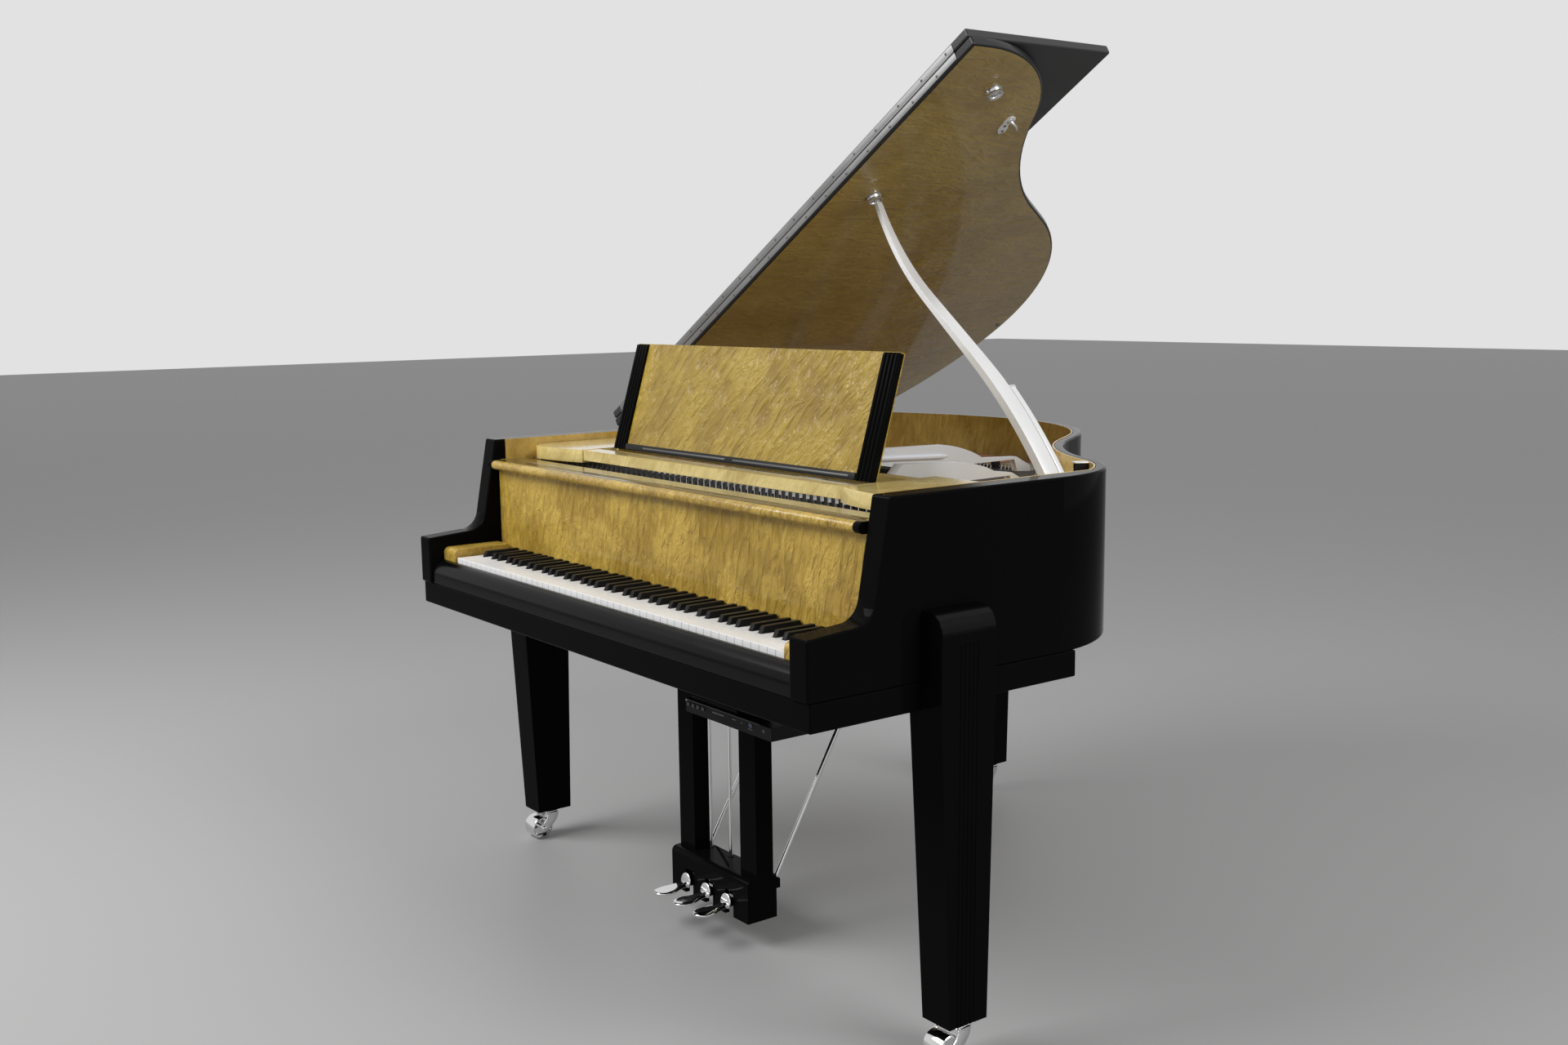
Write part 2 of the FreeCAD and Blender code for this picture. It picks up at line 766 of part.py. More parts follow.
def lyre_braces():
    """Two rods from the pedal box up to the brace block behind the keybed."""
    low = (338, 127)
    high = (664, 684)
    rise = (0, high[0] - low[0], high[1] - low[1])
    length = math.hypot(rise[1], rise[2])
    rods = [rod(f"brace_{x}", (x, low[0], low[1]), rise, 5, length) for x in (120, -120)]
    return group("lyre_braces", rods)


BUTTON_PLACES = (-76, -58, -40, -22)
BUTTON_LEVEL = 465


def control_box():
    """Slim front panel set off to the treble, bodies between and beside the lyre posts, and four button holes."""
    bottom, top, end = 447, 474, 215
    panel = block("control_panel", (-88, 262, bottom), (end, "lyre_front - 0.2", top))
    body = block("control_body", (-82, "lyre_front - 1", bottom), (82, "lyre_front + 25", 481))
    side_body = block("control_side", ("lyre_half + 1", "lyre_front - 1", bottom), (end, 420, top))
    holes = []
    for number, x in enumerate(BUTTON_PLACES, start=1):
        low = (x - 5, 260, BUTTON_LEVEL - 4)
        holes.append(block(f"button_hole_{number}", low, (x + 5, 272.5, BUTTON_LEVEL + 4)))
    return cut("control_box", fuse("control_case", [panel, body, side_body]), holes)


def control_buttons():
    caps = []
    for number, x in enumerate(BUTTON_PLACES, start=1):
        low = (x - 4.6, 259.5, BUTTON_LEVEL - 3.6)
        caps.append(block(f"button_{number}", low, (x + 4.6, 270.5, BUTTON_LEVEL + 3.6)))
    return group("control_buttons", caps)


def pedal(name, place):
    """Lever on the pivot pin with a broad round-ended tread and a shield in front of the box."""
    x = place * d["pedal_pitch"]
    lever_low, lever_high = 69, 81
    lever = block(f"{name}_lever", (x - 9, 205, lever_low), (x + 9, 318, lever_high))
    tread_end = 187
    tread = block(f"{name}_tread", (x - 21, tread_end, 68), (x + 21, 225, 76))
    nose = rod(f"{name}_nose", (x, tread_end, 68), (0, 0, 1), 21, 8)
    shield = rod(f"{name}_shield", (x, 240, 82), (0, 1, 0), 17, 6)
    body = fuse(f"{name}_body", [lever, tread, nose, shield])
    bore_start = (x - 30, "pedal_pivot_y", "pedal_pivot_z")
    bore = rod(f"{name}_bore", bore_start, (1, 0, 0), "4 + pin_gap", 60)
    return cut(f"{name}_pedal", body, [bore])


def pedal_rod(name, place):
    start = (f"{place} * pedal_pitch", "rod_depth", 81.8)
    return rod(f"{name}_pedal_rod", start, (0, 0, 1), 4, "bed_bottom - 88.3")


# Hardware on the rim

LID_HINGES = (620, 930, 1230)
HINGE_HALF = 40


def lid_knuckle(name, start, length):
    return rod(name, ("lid_hinge_x", start, "lid_under"), (0, 1, 0), 4, length)


def rim_hardware():
    """Fixed leaves of the lid hinges, the prop's bracket and pin, and the fallboard's pivot pins."""
    pieces = []
    for number, middle in enumerate(LID_HINGES, start=1):
        first, last = middle - HINGE_HALF, middle - 2
        leaf_high = ("-case_half", last, "rim_top - 1")
        leaf = block(f"rim_leaf_{number}", ("-case_half - 2", first, 950), leaf_high)
        arm_high = ("-case_half - 1", last, "rim_top - 0.6")
        arm = block(f"rim_arm_{number}", ("lid_hinge_x", first, 986), arm_high)
        knuckle = lid_knuckle(f"rim_knuckle_{number}", first, last - first)
        pieces.append(fuse(f"rim_hinge_{number}", [leaf, arm, knuckle]))
    wall = "case_half - cheek_wall - lining_wall - 2"
    bracket = block("prop_bracket", (655, 583, 950), (wall, 609, 986))
    pin = rod("prop_pin", (610, "prop_pivot_y", "prop_pivot_z"), (1, 0, 0), 5, 48)
    pieces.append(fuse("prop_stand", [bracket, pin]))
    for number, side in enumerate((1, -1), start=1):
        start = ("fall_half - 12" if side > 0 else "cheek_wall - case_half", "fall_pivot_y", "fall_pivot_z")
        length = "case_half - cheek_wall - fall_half + 12"
        pieces.append(rod(f"fall_pin_{number}", start, (1, 0, 0), 4, length))
    return group("rim_hardware", pieces)


def desk_rails():
    outer = "case_half - cheek_wall - lining_wall - 0.4"
    return group("desk_rails", pair("desk_rail", (638, 232, 925), (outer, 482, "tray_bottom - 0.5")))


# Keys

WHITE_STEPS = (0, 2, 4, 5, 7, 9, 11)
NOTES = 88
FIRST_STEP = 9
WHITES = 52
SECTIONS = {"bass": (0, 27), "middle": (27, 63), "treble": (63, 88)}


def key_table():
    """For each note: whether it is white, the span of its head and the span of its tail.

    Three whites share five equal tails from C to E, and four share seven from F to B.
    """
    pitch = d["white_pitch"]
    left = -WHITES * pitch / 2
    keys = []
    white = 0
    for note in range(NOTES):
        step = (note + FIRST_STEP) % 12
        octave = (note + FIRST_STEP) // 12
        octave_start = left + (octave * 7 - 5) * pitch
        if step < 5:
            width = 3 * pitch / 5
            tail_start = octave_start + step * width
        else:
            width = 4 * pitch / 7
            tail_start = octave_start + 3 * pitch + (step - 5) * width
        tail = [tail_start, tail_start + width]
        head = None
        if step in WHITE_STEPS:
            head = (left + white * pitch, left + (white + 1) * pitch)
            white += 1
            if note == 0:
                tail[0] = head[0]
            if note == NOTES - 1:
                tail[1] = head[1]
        keys.append((head, tuple(tail)))
    return keys


KEYS = key_table()


def white_key(head, tail):
    gap = d["key_gap"] / 2
    h0, h1 = head[0] + gap, head[1] - gap
    t0, t1 = tail[0] + gap, tail[1] - gap
    front, back = d["white_head"], d["key_back"]
    corners = [(h0, 0), (h1, 0), (h1, front), (t1, front), (t1, back), (t0, back), (t0, front), (h0, front)]
    before = corners[-1:] + corners[:-1]
    outline = [corner for corner, last in zip(corners, before) if math.dist(corner, last) > 0.01]
    return bar(polygon(outline), d["key_bottom"], d["key_top"] - d["key_bottom"])


def slab(points, x_low, x_high):
    """Upright side outline in depth and height, given a width from x_low to x_high."""
    corners = [V(x_low, y, z) for y, z in points]
    face = Part.Face(Part.makePolygon(corners + corners[:1]))
    return face.extrude(V(x_high - x_low, 0, 0))


def black_key(tail):
    low, top = d["key_bottom"], d["key_top"]
    crown = top + d["black_rise"]
    front, back = d["black_front"], d["black_back"]
    side = [
        (front, low), (front, top), (front + 6, crown), (back, crown),
        (back, top), (d["key_back"], top), (d["key_back"], low),
    ]
    gap = d["key_gap"]
    return slab(side, tail[0] + gap, tail[1] - gap)


def hammer(tail):
    """Shank on its pivot with an upright head."""
    y, z = d["hammer_pivot_y"], d["hammer_pivot_z"]
    side = [
        (y - 5, z - 5), (y + 140, z - 5), (y + 140, z + 24), (y + 133, z + 54),
        (y + 125, z + 54), (y + 118, z + 24), (y + 118, z + 5), (y - 5, z + 5),
    ]
    middle = (tail[0] + tail[1]) / 2
    half_width = 4.5
    return slab(side, middle - half_width, middle + half_width)


def key_sections():
    for section, (first, last) in SECTIONS.items():
        keys = KEYS[first:last]
        whites = [(head, tail) for head, tail in keys if head]
        blacks = [tail for head, tail in keys if not head]
        node(f"white_keys_{section}", made(f"white_keys_{section}", [white_key(*key) for key in whites]))
        node(f"black_keys_{section}", made(f"black_keys_{section}", [black_key(tail) for tail in blacks]))
        white_hammers = [hammer(tail) for head, tail in whites]
        black_hammers = [hammer(tail) for tail in blacks]
        node(f"white_hammers_{section}", made(f"white_hammers_{section}", white_hammers))
        node(f"black_hammers_{section}", made(f"black_hammers_{section}", black_hammers))


# Action

def key_frame():
    bottom = "rim_bottom + 0.4"
    side = 634
    pieces = [
        block("front_rail", (-610, 15, bottom), (610, 60, 699)),
        block("balance_rail", (-side, 215, bottom), (side, 255, 702)),
        block("back_rail", (-side, 405, bottom), (side, 445, 700)),
    ]
    for number, x in enumerate((-580, 0, 580), start=1):
        pieces.append(block(f"frame_tie_{number}", (x - 20, 50, bottom), (x + 20, 415, 692)))
    return fuse("key_frame", pieces)


def action_frame():
    pieces = pair("action_bracket", (620, 345, 700), (634, 443, 834))
    pieces.append(block("hammer_rail", (-625, 360, 800), (625, 400, 819)))
    pieces.append(block("lever_rail", (-625, 400, 754), (625, 432, 768)))
    return fuse("action_frame", pieces)


def dampers():
    """Damper heads in a row behind the hammers, resting just above their strings."""
    row = 575
    half_length, half_width, height = 17, 4.5, 28
    damped = (0.07, 0.6)
    lift = 1.5
    solids = []
    places = [(fan(part), d["string_level"]) for part in TREBLE_STRINGS if damped[0] < part < damped[1]]
    places += [(bass_fan(part), d["bass_level"]) for part in BASS_STRINGS]
    for (start, end), level in places:
        share = (row - start[1]) / (end[1] - start[1])
        x = start[0] + (end[0] - start[0]) * share
        bottom = level + d["string_wire"] + lift
        top = d["string_level"] + height + 6
        corner = V(x - half_width, row - half_length, bottom)
        solids.append(Part.makeBox(2 * half_width, 2 * half_length, top - bottom, corner))
    return made("dampers", solids)


# Lid

def lid_open(part):
    return turn(part, (d["lid_hinge_x"], 0, d["lid_under"]), -Y_AXIS, d["lid_angle"])


def main_lid():
    outline = rim_region(-d["lid_overhang"], d["lid_front"])
    board = prism("lid_board", "XY", outline, "lid_under", "lid_under + lid_thick")
    trim_low = ("lid_hinge_x - 60", 400, "lid_under - 5")
    trim = block("lid_trim", trim_low, ("lid_hinge_x + 5", 1500, "lid_under + 40"))
    return lid_open(cut("main_lid", board, [trim]))


def lid_fittings():
    """Prop cups, lock plate, bumpers, the lid's hinge leaves and the lower leaf of the flap's hinge."""
    pieces = []
    for number, (x, y) in enumerate(((270, 600), (622, 641)), start=1):
        start = (x, y, "lid_under - 10")
        ring = rod(f"cup_{number}", start, (0, 0, 1), 16, 10)
        hollow = rod(f"cup_hollow_{number}", (x, y, "lid_under - 11"), (0, 0, 1), 9, 5)
        pieces.append(cut(f"prop_cup_{number}", ring, [hollow]))
    plate = block("lock_plate", (504, 743, "lid_under - 3"), (550, 765, "lid_under"))
    tongue = rod("lock_tongue", (540, 754, "lid_under - 16"), (0, 0, 1), 5, 14)
    pieces.append(fuse("lid_lock", [plate, tongue]))
    for number, (x, y) in enumerate(((-276, 1418), (-690, 1150)), start=1):
        pieces.append(rod(f"bumper_{number}", (x, y, "lid_under - 2.5"), (0, 0, 1), 7, 2.5))
    for number, middle in enumerate(LID_HINGES, start=1):
        first, last = middle + 1, middle + HINGE_HALF
        low, high = "lid_under + 2", "lid_under + 18"
        leaf = block(f"lid_leaf_{number}", ("lid_hinge_x + 3", first, low), ("lid_hinge_x + 5", last, high))
        arm_high = ("lid_hinge_x + 4", last, "lid_under + 3.8")
        arm = block(f"lid_arm_{number}", ("lid_hinge_x", first, "lid_under + 1"), arm_high)
        knuckle = lid_knuckle(f"lid_knuckle_{number}", first, last - first)
        pieces.append(fuse(f"lid_hinge_{number}", [leaf, arm, knuckle]))
    span = 690
    leaf_low = (-span, "lid_front - 1.4", "lid_under + 5")
    flap_leaf = block("flap_leaf", leaf_low, (span, "lid_front", "fly_axis_z - 2"))
    web_low = (-span, "fly_axis_y", "fly_axis_z - 2.2")
    flap_web = block("flap_web", web_low, (span, "lid_front - 1", "fly_axis_z - 1.2"))
    flap_pin = rod("flap_pin", (-span, "fly_axis_y", "fly_axis_z"), (1, 0, 0), 1.6, 2 * span)
    pieces.append(fuse("flap_hinge", [flap_leaf, flap_web, flap_pin]))
    return lid_open(group("lid_fittings", pieces))


def fly_lid():
    """Front flap folded back flat on the main lid."""
    front = "lid_front + 1"
    bottom = "fly_axis_z + 1"
    low = ("lid_hinge_x + 5", front, bottom)
    high = ("case_half + fly_overhang", f"{front} + fly_depth", f"{bottom} + fly_thick")
    return lid_open(group("fly_lid", [block("fly_board", low, high)]))


def fly_hinge():
    span = 690
    low = (-span, "lid_front - 0.4", "fly_axis_z + 2")
    high = (span, "lid_front + 1", "fly_axis_z + 16")
    return lid_open(group("fly_hinge", [block("fly_leaf", low, high)]))


# Lid prop

PROP_FOOT = (639.8, 950)
PROP_HEADING = 122.3
PROP_PIECES = ((313, 17.1), (184, 0), (213, -22.4), (24, 0))
PROP_HALF = (9, 4.5)
SHORT_PIECES = ((235, 12.8),)
RIVET_Z = 1000


def prop_edges(pieces, halves):
    """Outline of a stick that follows arcs and straights, each a length and a turn, and thins to its tip.

    The centre line starts at the foot with a heading measured from +x towards +z.
    """
    total = sum(length for length, turned in pieces)
    x, z = PROP_FOOT
    heading = math.radians(PROP_HEADING)
    done = 0
    stations = [(x, z, heading, halves[0])]
    for length, turned in pieces:
        for half_turn in range(2):
            step = math.radians(turned) / 2
            x += length / 2 * math.cos(heading + step / 2)
            z += length / 2 * math.sin(heading + step / 2)
            heading += step
            done += length / 2
            half = halves[0] + (halves[1] - halves[0]) * done / total
            stations.append((x, z, heading, half))
    edges = []
    ends = []
    for sign in (1, -1):
        points = []
        for x, z, h, half in stations:
            points.append((x - sign * half * math.sin(h), z + sign * half * math.cos(h)))
        ends.append((points[0], points[-1]))
        for number, (length, turned) in enumerate(pieces):
            start, middle, end = points[2 * number:2 * number + 3]
            edges.append(arc3(start, middle, end) if turned else line(start, end))
    return edges + [line(ends[0][0], ends[1][0]), line(ends[0][1], ends[1][1])]


def rivet_x():
    """Middle of the prop at the height of the short prop's rivet."""
    lean = math.radians(PROP_HEADING + 1.5)
    return PROP_FOOT[0] + (RIVET_Z - PROP_FOOT[1]) / math.tan(lean)


def lid_prop():
    """S-curved prop that matches the bentside, thinner towards its tip, with the short prop's rivet."""
    front, back = d["prop_front"], d["prop_back"]
    stick = prism("prop_stick", "XZ", prop_edges(PROP_PIECES, PROP_HALF), "prop_front", "prop_back")
    taper = [(front - 5, 900), (back, 900), (back, 1150), (front + 12, 1520), (front - 5, 1520)]
    limit = prism("prop_taper", "YZ", polygon(taper), 0, 700)
    tapered = common("prop_tapered", stick, limit)
    rivet_start = (rivet_x(), "prop_back - 6", RIVET_Z)
    rivet = rod("prop_rivet", rivet_start, (0, 1, 0), 3.5, "short_back - prop_back + 7")
    bore_start = (590, "prop_pivot_y", "prop_pivot_z")
    bore = rod("prop_bore", bore_start, (1, 0, 0), "5 + pin_gap", 90)
    return cut("lid_prop", fuse("prop_solid", [tapered, rivet]), [bore])


def short_prop():
    """Second, shorter stick behind the prop, riveted to it near the foot."""
    stick = prism("short_stick", "XZ", prop_edges(SHORT_PIECES, (8, 6)), "prop_back + 1", "short_back")
    foot = block("short_foot", (560, "prop_back", 900), (700, "short_back + 5", 978))
    bore = rod("short_bore", (rivet_x(), "prop_back", RIVET_Z), (0, 1, 0), "3.5 + pin_gap", 30)
    return cut("short_prop", stick, [foot, bore])


# Fallboard and music desk

def fallboard():
    front, back = d["fall_front"], d["fall_back"]
    low, top, nose = d["fall_bottom"], d["fall_top"], d["fall_nose"]
    radius = 10
    profile = [
        line((front, low), (front, top - 2 * radius)),
        line((front, top - 2 * radius), (nose + radius, top - 2 * radius)),
        bend((nose + radius, top - radius), radius, 270, 90),
        line((nose + radius, top), (back, top)),
        line((back, top), (back, low)),
        line((back, low), (front, low)),
    ]
    board = prism("fall_board", "YZ", profile, "-fall_half", "fall_half")
    holes = []
    for number, start in enumerate(("fall_half - 14", "-fall_half - 1"), start=1):
        place = (start, "fall_pivot_y", "fall_pivot_z")
        holes.append(rod(f"fall_hole_{number}", place, (1, 0, 0), "4 + pin_gap", 15))
    return cut("fallboard", board, holes)


def desk_tray():
    """Sliding frame: shaped cheeks at both sides, a front ledge and a lower back rail."""
    inner, outer = 460, 668
    ledge = 245
    bulge = 214
    cheek = [
        line((inner, d["tray_back"]), (inner, ledge - 3)),
        arc3((inner, ledge - 3), (530, 223), (610, bulge)),
        arc3((610, bulge), (632, 219), (643, 232)),
        arc3((643, 232), (653, 242), (outer, ledge)),
        line((outer, ledge), (outer, d["tray_back"])),
        line((outer, d["tray_back"]), (inner, d["tray_back"])),
    ]
    treble = prism("treble_cheek", "XY", cheek, "tray_bottom", "tray_top")
    bass = doc.addObject("Part::Mirroring", "bass_cheek")
    bass.Source = treble
    bass.Normal = X_AXIS
    rail = block("front_ledge", (-inner - 5, ledge, 951), (inner + 5, ledge + 40, "tray_top - 1"))
    back = block("tray_rail", (-inner - 5, 440, "tray_bottom"), (inner + 5, "tray_back", "desk_hinge_z - 2"))
    pins = []
    for side, start in (("treble", "desk_half + 1"), ("bass", f"-desk_half - {inner - 450 + 5}")):
        place = (start, "desk_hinge_y", "desk_hinge_z")
        pins.append(rod(f"desk_pin_{side}", place, (1, 0, 0), 3.9, inner - 450 + 4))
    return fuse("desk_tray", [treble, bass, rail, back] + pins)


STRUT_HEIGHT = 85
STRUT_OFFSET = 8


def desk_lean(part):
    return turn(part, (0, d["desk_hinge_y"], d["desk_hinge_z"]), -X_AXIS, d["desk_lean"])


def desk_panel():
    """Veneered panel with a rolled hinge edge and the ears that hold the strut's pin."""
    low = ("-desk_half", "desk_hinge_y - desk_thick", "desk_hinge_z")
    high = ("desk_half", "desk_hinge_y", "desk_hinge_z + desk_height")
    panel = block("desk_board", low, high)
    roll_start = ("-desk_half", "desk_hinge_y", "desk_hinge_z")
    roll = rod("desk_roll", roll_start, (1, 0, 0), 3.9, "2 * desk_half")
    level = f"desk_hinge_z + {STRUT_HEIGHT}"
    ear_high = (15, "desk_hinge_y + 12", f"{level} + 6")
    ears = pair("desk_ear", (11, "desk_hinge_y - 1", f"{level} - 6"), ear_high)
    pin = rod("strut_pin", (-14, f"desk_hinge_y + {STRUT_OFFSET}", level), (1, 0, 0), 2.5, 28)
    return desk_lean(fuse("desk_panel", [panel, roll, pin] + ears))


def desk_fluting():
    """Fluted strips on both ends of the desk's face."""
    strip, proud = 45, 6
    flutes = 4
    pieces = []
    for side in (1, -1):
        start = side * (d["desk_half"] - strip) if side > 0 else -d["desk_half"]
        name = "treble" if side > 0 else "bass"
        low = (start, f"desk_hinge_y - desk_thick - {proud}", "desk_hinge_z")
        high = (start + strip, "desk_hinge_y - desk_thick", "desk_hinge_z + desk_height")
        body = block(f"{name}_strip", low, high)
        grooves = []
        for number in range(flutes - 1):
            x = start + strip * (number + 1) / flutes
            place = (x, f"desk_hinge_y - desk_thick - {proud}", "desk_hinge_z - 1")
            grooves.append(rod(f"{name}_groove_{number}", place, (0, 0, 1), 2.2, "desk_height + 2"))
        pieces.append(cut(f"{name}_fluting", body, grooves))
    return desk_lean(group("desk_fluting", pieces))


def desk_strut():
    """Prop bar behind the desk, from the pin on its back to just ahead of the tray's back rail."""
    lean = math.radians(d["desk_lean"])
    y = d["desk_hinge_y"] + STRUT_OFFSET * math.cos(lean) + STRUT_HEIGHT * math.sin(lean)
    z = d["desk_hinge_z"] - STRUT_OFFSET * math.sin(lean) + STRUT_HEIGHT * math.cos(lean)
    foot = (432, 973)
    half = 4
    dy, dz = foot[0] - y, foot[1] - z
    length = math.hypot(dy, dz)
    ny, nz = -dz / length * half, dy / length * half
    outline = [
        line((y + ny, z + nz), (foot[0] + ny, foot[1] + nz)),
        line((foot[0] + ny, foot[1] + nz), (foot[0] - ny, foot[1] - nz)),
        line((foot[0] - ny, foot[1] - nz), (y - ny, z - nz)),
        arc3((y - ny, z - nz), (y - dy / length * half, z - dz / length * half), (y + ny, z + nz)),
    ]
    strut = prism("strut_bar", "YZ", outline, -10, 10)
    bore = rod("strut_bore", (-12, y, z), (1, 0, 0), "2.5 + pin_gap", 24)
    return cut("desk_strut", strut, [bore])


# All sub-parts

node("rim_shell", rim_shell())
node("rim_lining", rim_lining())
node("keybed", keybed())
node("key_slip", key_slip())
node("key_blocks", key_blocks())
node("stretcher", stretcher())
node("pin_block", pin_block())
node("soundboard", soundboard())
node("bridges", bridges())
node("iron_plate", iron_plate())
node("tuning_pins", tuning_pins())
node("strings", strings())
node("bracing_beams", bracing_beams())
node("left_leg", front_leg("left_leg", -1))
node("right_leg", front_leg("right_leg", 1))
node("rear_leg", rear_leg())
node("lyre", lyre())
node("lyre_braces", lyre_braces())
node("control_box", control_box())
node("control_buttons", control_buttons())
node("rim_hardware", rim_hardware())
node("desk_rails", desk_rails())
node("key_frame", key_frame())
node("action_frame", action_frame())
node("dampers", dampers())
key_sections()
node("main_lid", main_lid())
node("lid_fittings", lid_fittings())
node("fly_lid", fly_lid())
node("fly_hinge", fly_hinge())
node("lid_prop", lid_prop())
node("short_prop", short_prop())
node("fallboard", fallboard())
node("desk_tray", desk_tray())
node("desk_panel", desk_panel())
node("desk_fluting", desk_fluting())
node("desk_strut", desk_strut())
for pedal_name, pedal_place in PEDALS.items():
    node(f"{pedal_name}_pedal", pedal(pedal_name, pedal_place))
    node(f"{pedal_name}_pedal_rod", pedal_rod(pedal_name, pedal_place))
for caster_name, caster_place in CASTERS.items():
    node(f"{caster_name}_caster_fork", caster_fork(f"{caster_name}_caster_fork", caster_place))
    node(f"{caster_name}_caster_wheel", caster_wheel(f"{caster_name}_caster_wheel", caster_place))

doc.recompute()

# Every object and every sub-part is sound before anything is written

for item in doc.Objects:
    if "Invalid" in item.State or "Error" in item.State:
        raise RuntimeError(f"{item.Name} failed: {item.State}")
for part in nodes:
    if part.Shape.isNull() or not part.Shape.isValid() or not part.Shape.Solids:
        raise RuntimeError(f"{part.Label} has no sound shape")

os.makedirs("parts", exist_ok=True)
for part in nodes:
    part.Shape.exportStep(os.path.join("parts", part.Label + ".step"))
box = Part.Compound([part.Shape for part in nodes]).BoundBox
print(f"{len(nodes)} sub-parts, {box.XLength:.1f} x {box.YLength:.1f} x {box.ZLength:.1f}")
print(f"low {box.XMin:.2f} {box.YMin:.2f} {box.ZMin:.2f}  high {box.XMax:.2f} {box.YMax:.2f} {box.ZMax:.2f}")
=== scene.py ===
"""Looks of the grand piano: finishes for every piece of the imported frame, and the shaped pieces it wears.

Sizes are in millimetres. Depths are measured from the front of the white keys and rise towards the tail.
"""

import json
import math

import bmesh
import bpy
import numpy as np
from mathutils import Matrix, Vector


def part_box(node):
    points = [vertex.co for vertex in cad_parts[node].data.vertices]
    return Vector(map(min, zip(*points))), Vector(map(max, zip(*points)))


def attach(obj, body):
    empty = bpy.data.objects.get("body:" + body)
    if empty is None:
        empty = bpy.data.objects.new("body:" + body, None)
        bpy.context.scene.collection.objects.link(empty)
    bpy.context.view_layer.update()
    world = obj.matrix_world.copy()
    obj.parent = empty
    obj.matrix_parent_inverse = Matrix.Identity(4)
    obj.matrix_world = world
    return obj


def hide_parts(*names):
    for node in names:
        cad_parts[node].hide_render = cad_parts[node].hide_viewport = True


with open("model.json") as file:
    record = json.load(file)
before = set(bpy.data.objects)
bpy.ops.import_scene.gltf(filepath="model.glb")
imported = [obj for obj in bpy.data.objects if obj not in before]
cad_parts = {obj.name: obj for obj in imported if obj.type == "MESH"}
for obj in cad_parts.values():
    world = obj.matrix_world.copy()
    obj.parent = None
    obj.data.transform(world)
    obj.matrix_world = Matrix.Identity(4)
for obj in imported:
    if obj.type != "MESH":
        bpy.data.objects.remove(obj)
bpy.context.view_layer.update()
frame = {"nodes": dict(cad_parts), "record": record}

MILLIMETRE = 0.001
BED_FRONT = -33
DEPTH_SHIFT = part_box("keybed")[0].y - BED_FRONT * MILLIMETRE


# Surfaces

def grid_faces(rows, columns, wrap_rows=False, wrap_columns=False):
    """Quads of a grid of points, joined end to end along the ways that wrap."""
    row = np.arange(rows if wrap_rows else rows - 1)
    column = np.arange(columns if wrap_columns else columns - 1)
    low, left = np.meshgrid(row, column, indexing="ij")
    high = (low + 1) % rows
    right = (left + 1) % columns
    corners = [low * columns + left, low * columns + right, high * columns + right, high * columns + left]
    return np.stack(corners, axis=-1).reshape(-1, 4)


def tube_faces(rings, count):
    """Faces of a closed tube: quads between rings of points, and one flat face on each end ring."""
    faces = grid_faces(rings, count, wrap_columns=True).tolist()
    faces.append(list(range(count)))
    faces.append(list(range((rings - 1) * count, rings * count)))
    return faces


def piece(name, points, faces, body, finish, sharp=35):
    """Mesh object from points in millimetres and keyboard depths, closed, smooth, and riding on a body."""
    place = np.asarray(points, float).reshape(-1, 3) * MILLIMETRE
    place[:, 1] += DEPTH_SHIFT
    mesh = bpy.data.meshes.new(name)
    mesh.from_pydata(place.tolist(), [], [list(face) for face in faces])
    work = bmesh.new()
    work.from_mesh(mesh)
    bmesh.ops.remove_doubles(work, verts=work.verts, dist=1e-6)
    bmesh.ops.recalc_face_normals(work, faces=work.faces)
    work.to_mesh(mesh)
    work.free()
    mesh.shade_smooth()
    mesh.set_sharp_from_angle(angle=math.radians(sharp))
    mesh.materials.append(FINISHES[finish])
    obj = bpy.data.objects.new(name, mesh)
    bpy.context.scene.collection.objects.link(obj)
    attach(obj, body)
    return obj


def joined(parts):
    """Several (points, faces) shapes as one."""
    points, faces, count = [], [], 0
    for part_points, part_faces in parts:
        flat = np.asarray(part_points, float).reshape(-1, 3)
        points.append(flat)
        faces += [[index + count for index in face] for face in part_faces]
        count += len(flat)
    return np.concatenate(points), faces


def inset_outline(outline, inset):
    """Closed outline moved inwards: each corner goes along the mean of its two side normals, mitred."""
    before = outline - np.roll(outline, 1, axis=0)
    after = np.roll(outline, -1, axis=0) - outline
    area = np.sum(outline[:, 0] * np.roll(outline[:, 1], -1) - np.roll(outline[:, 0], -1) * outline[:, 1])
    turn = np.array([[0, -1], [1, 0]]) * np.sign(area)
    before = before / np.linalg.norm(before, axis=1)[:, None] @ turn.T
    after = after / np.linalg.norm(after, axis=1)[:, None] @ turn.T
    mean = before + after
    mean /= np.linalg.norm(mean, axis=1)[:, None]
    return outline + inset * mean / np.clip(np.sum(mean * before, axis=1), 0.4, 1)[:, None]


def edge_rings(low, high, radius, steps=4):
    """(inset, level) of a board's rings: a quarter circle rounds the bottom rim and another the top rim."""
    angle = np.linspace(0, math.pi / 2, steps)
    inset = radius * (1 - np.sin(angle))
    rise = radius * (1 - np.cos(angle))
    return list(zip(inset, low + rise)) + list(zip(inset[::-1], high - rise[::-1]))


def slab(outline, rings):
    """Closed board: the outline repeated at each ring's inset and level, with flat ends."""
    outline = np.asarray(outline, float)
    count = len(outline)
    levels = []
    for inset, level in rings:
        levels.append(np.column_stack([inset_outline(outline, inset), np.full(count, level)]))
    return np.concatenate(levels), tube_faces(len(rings), count)


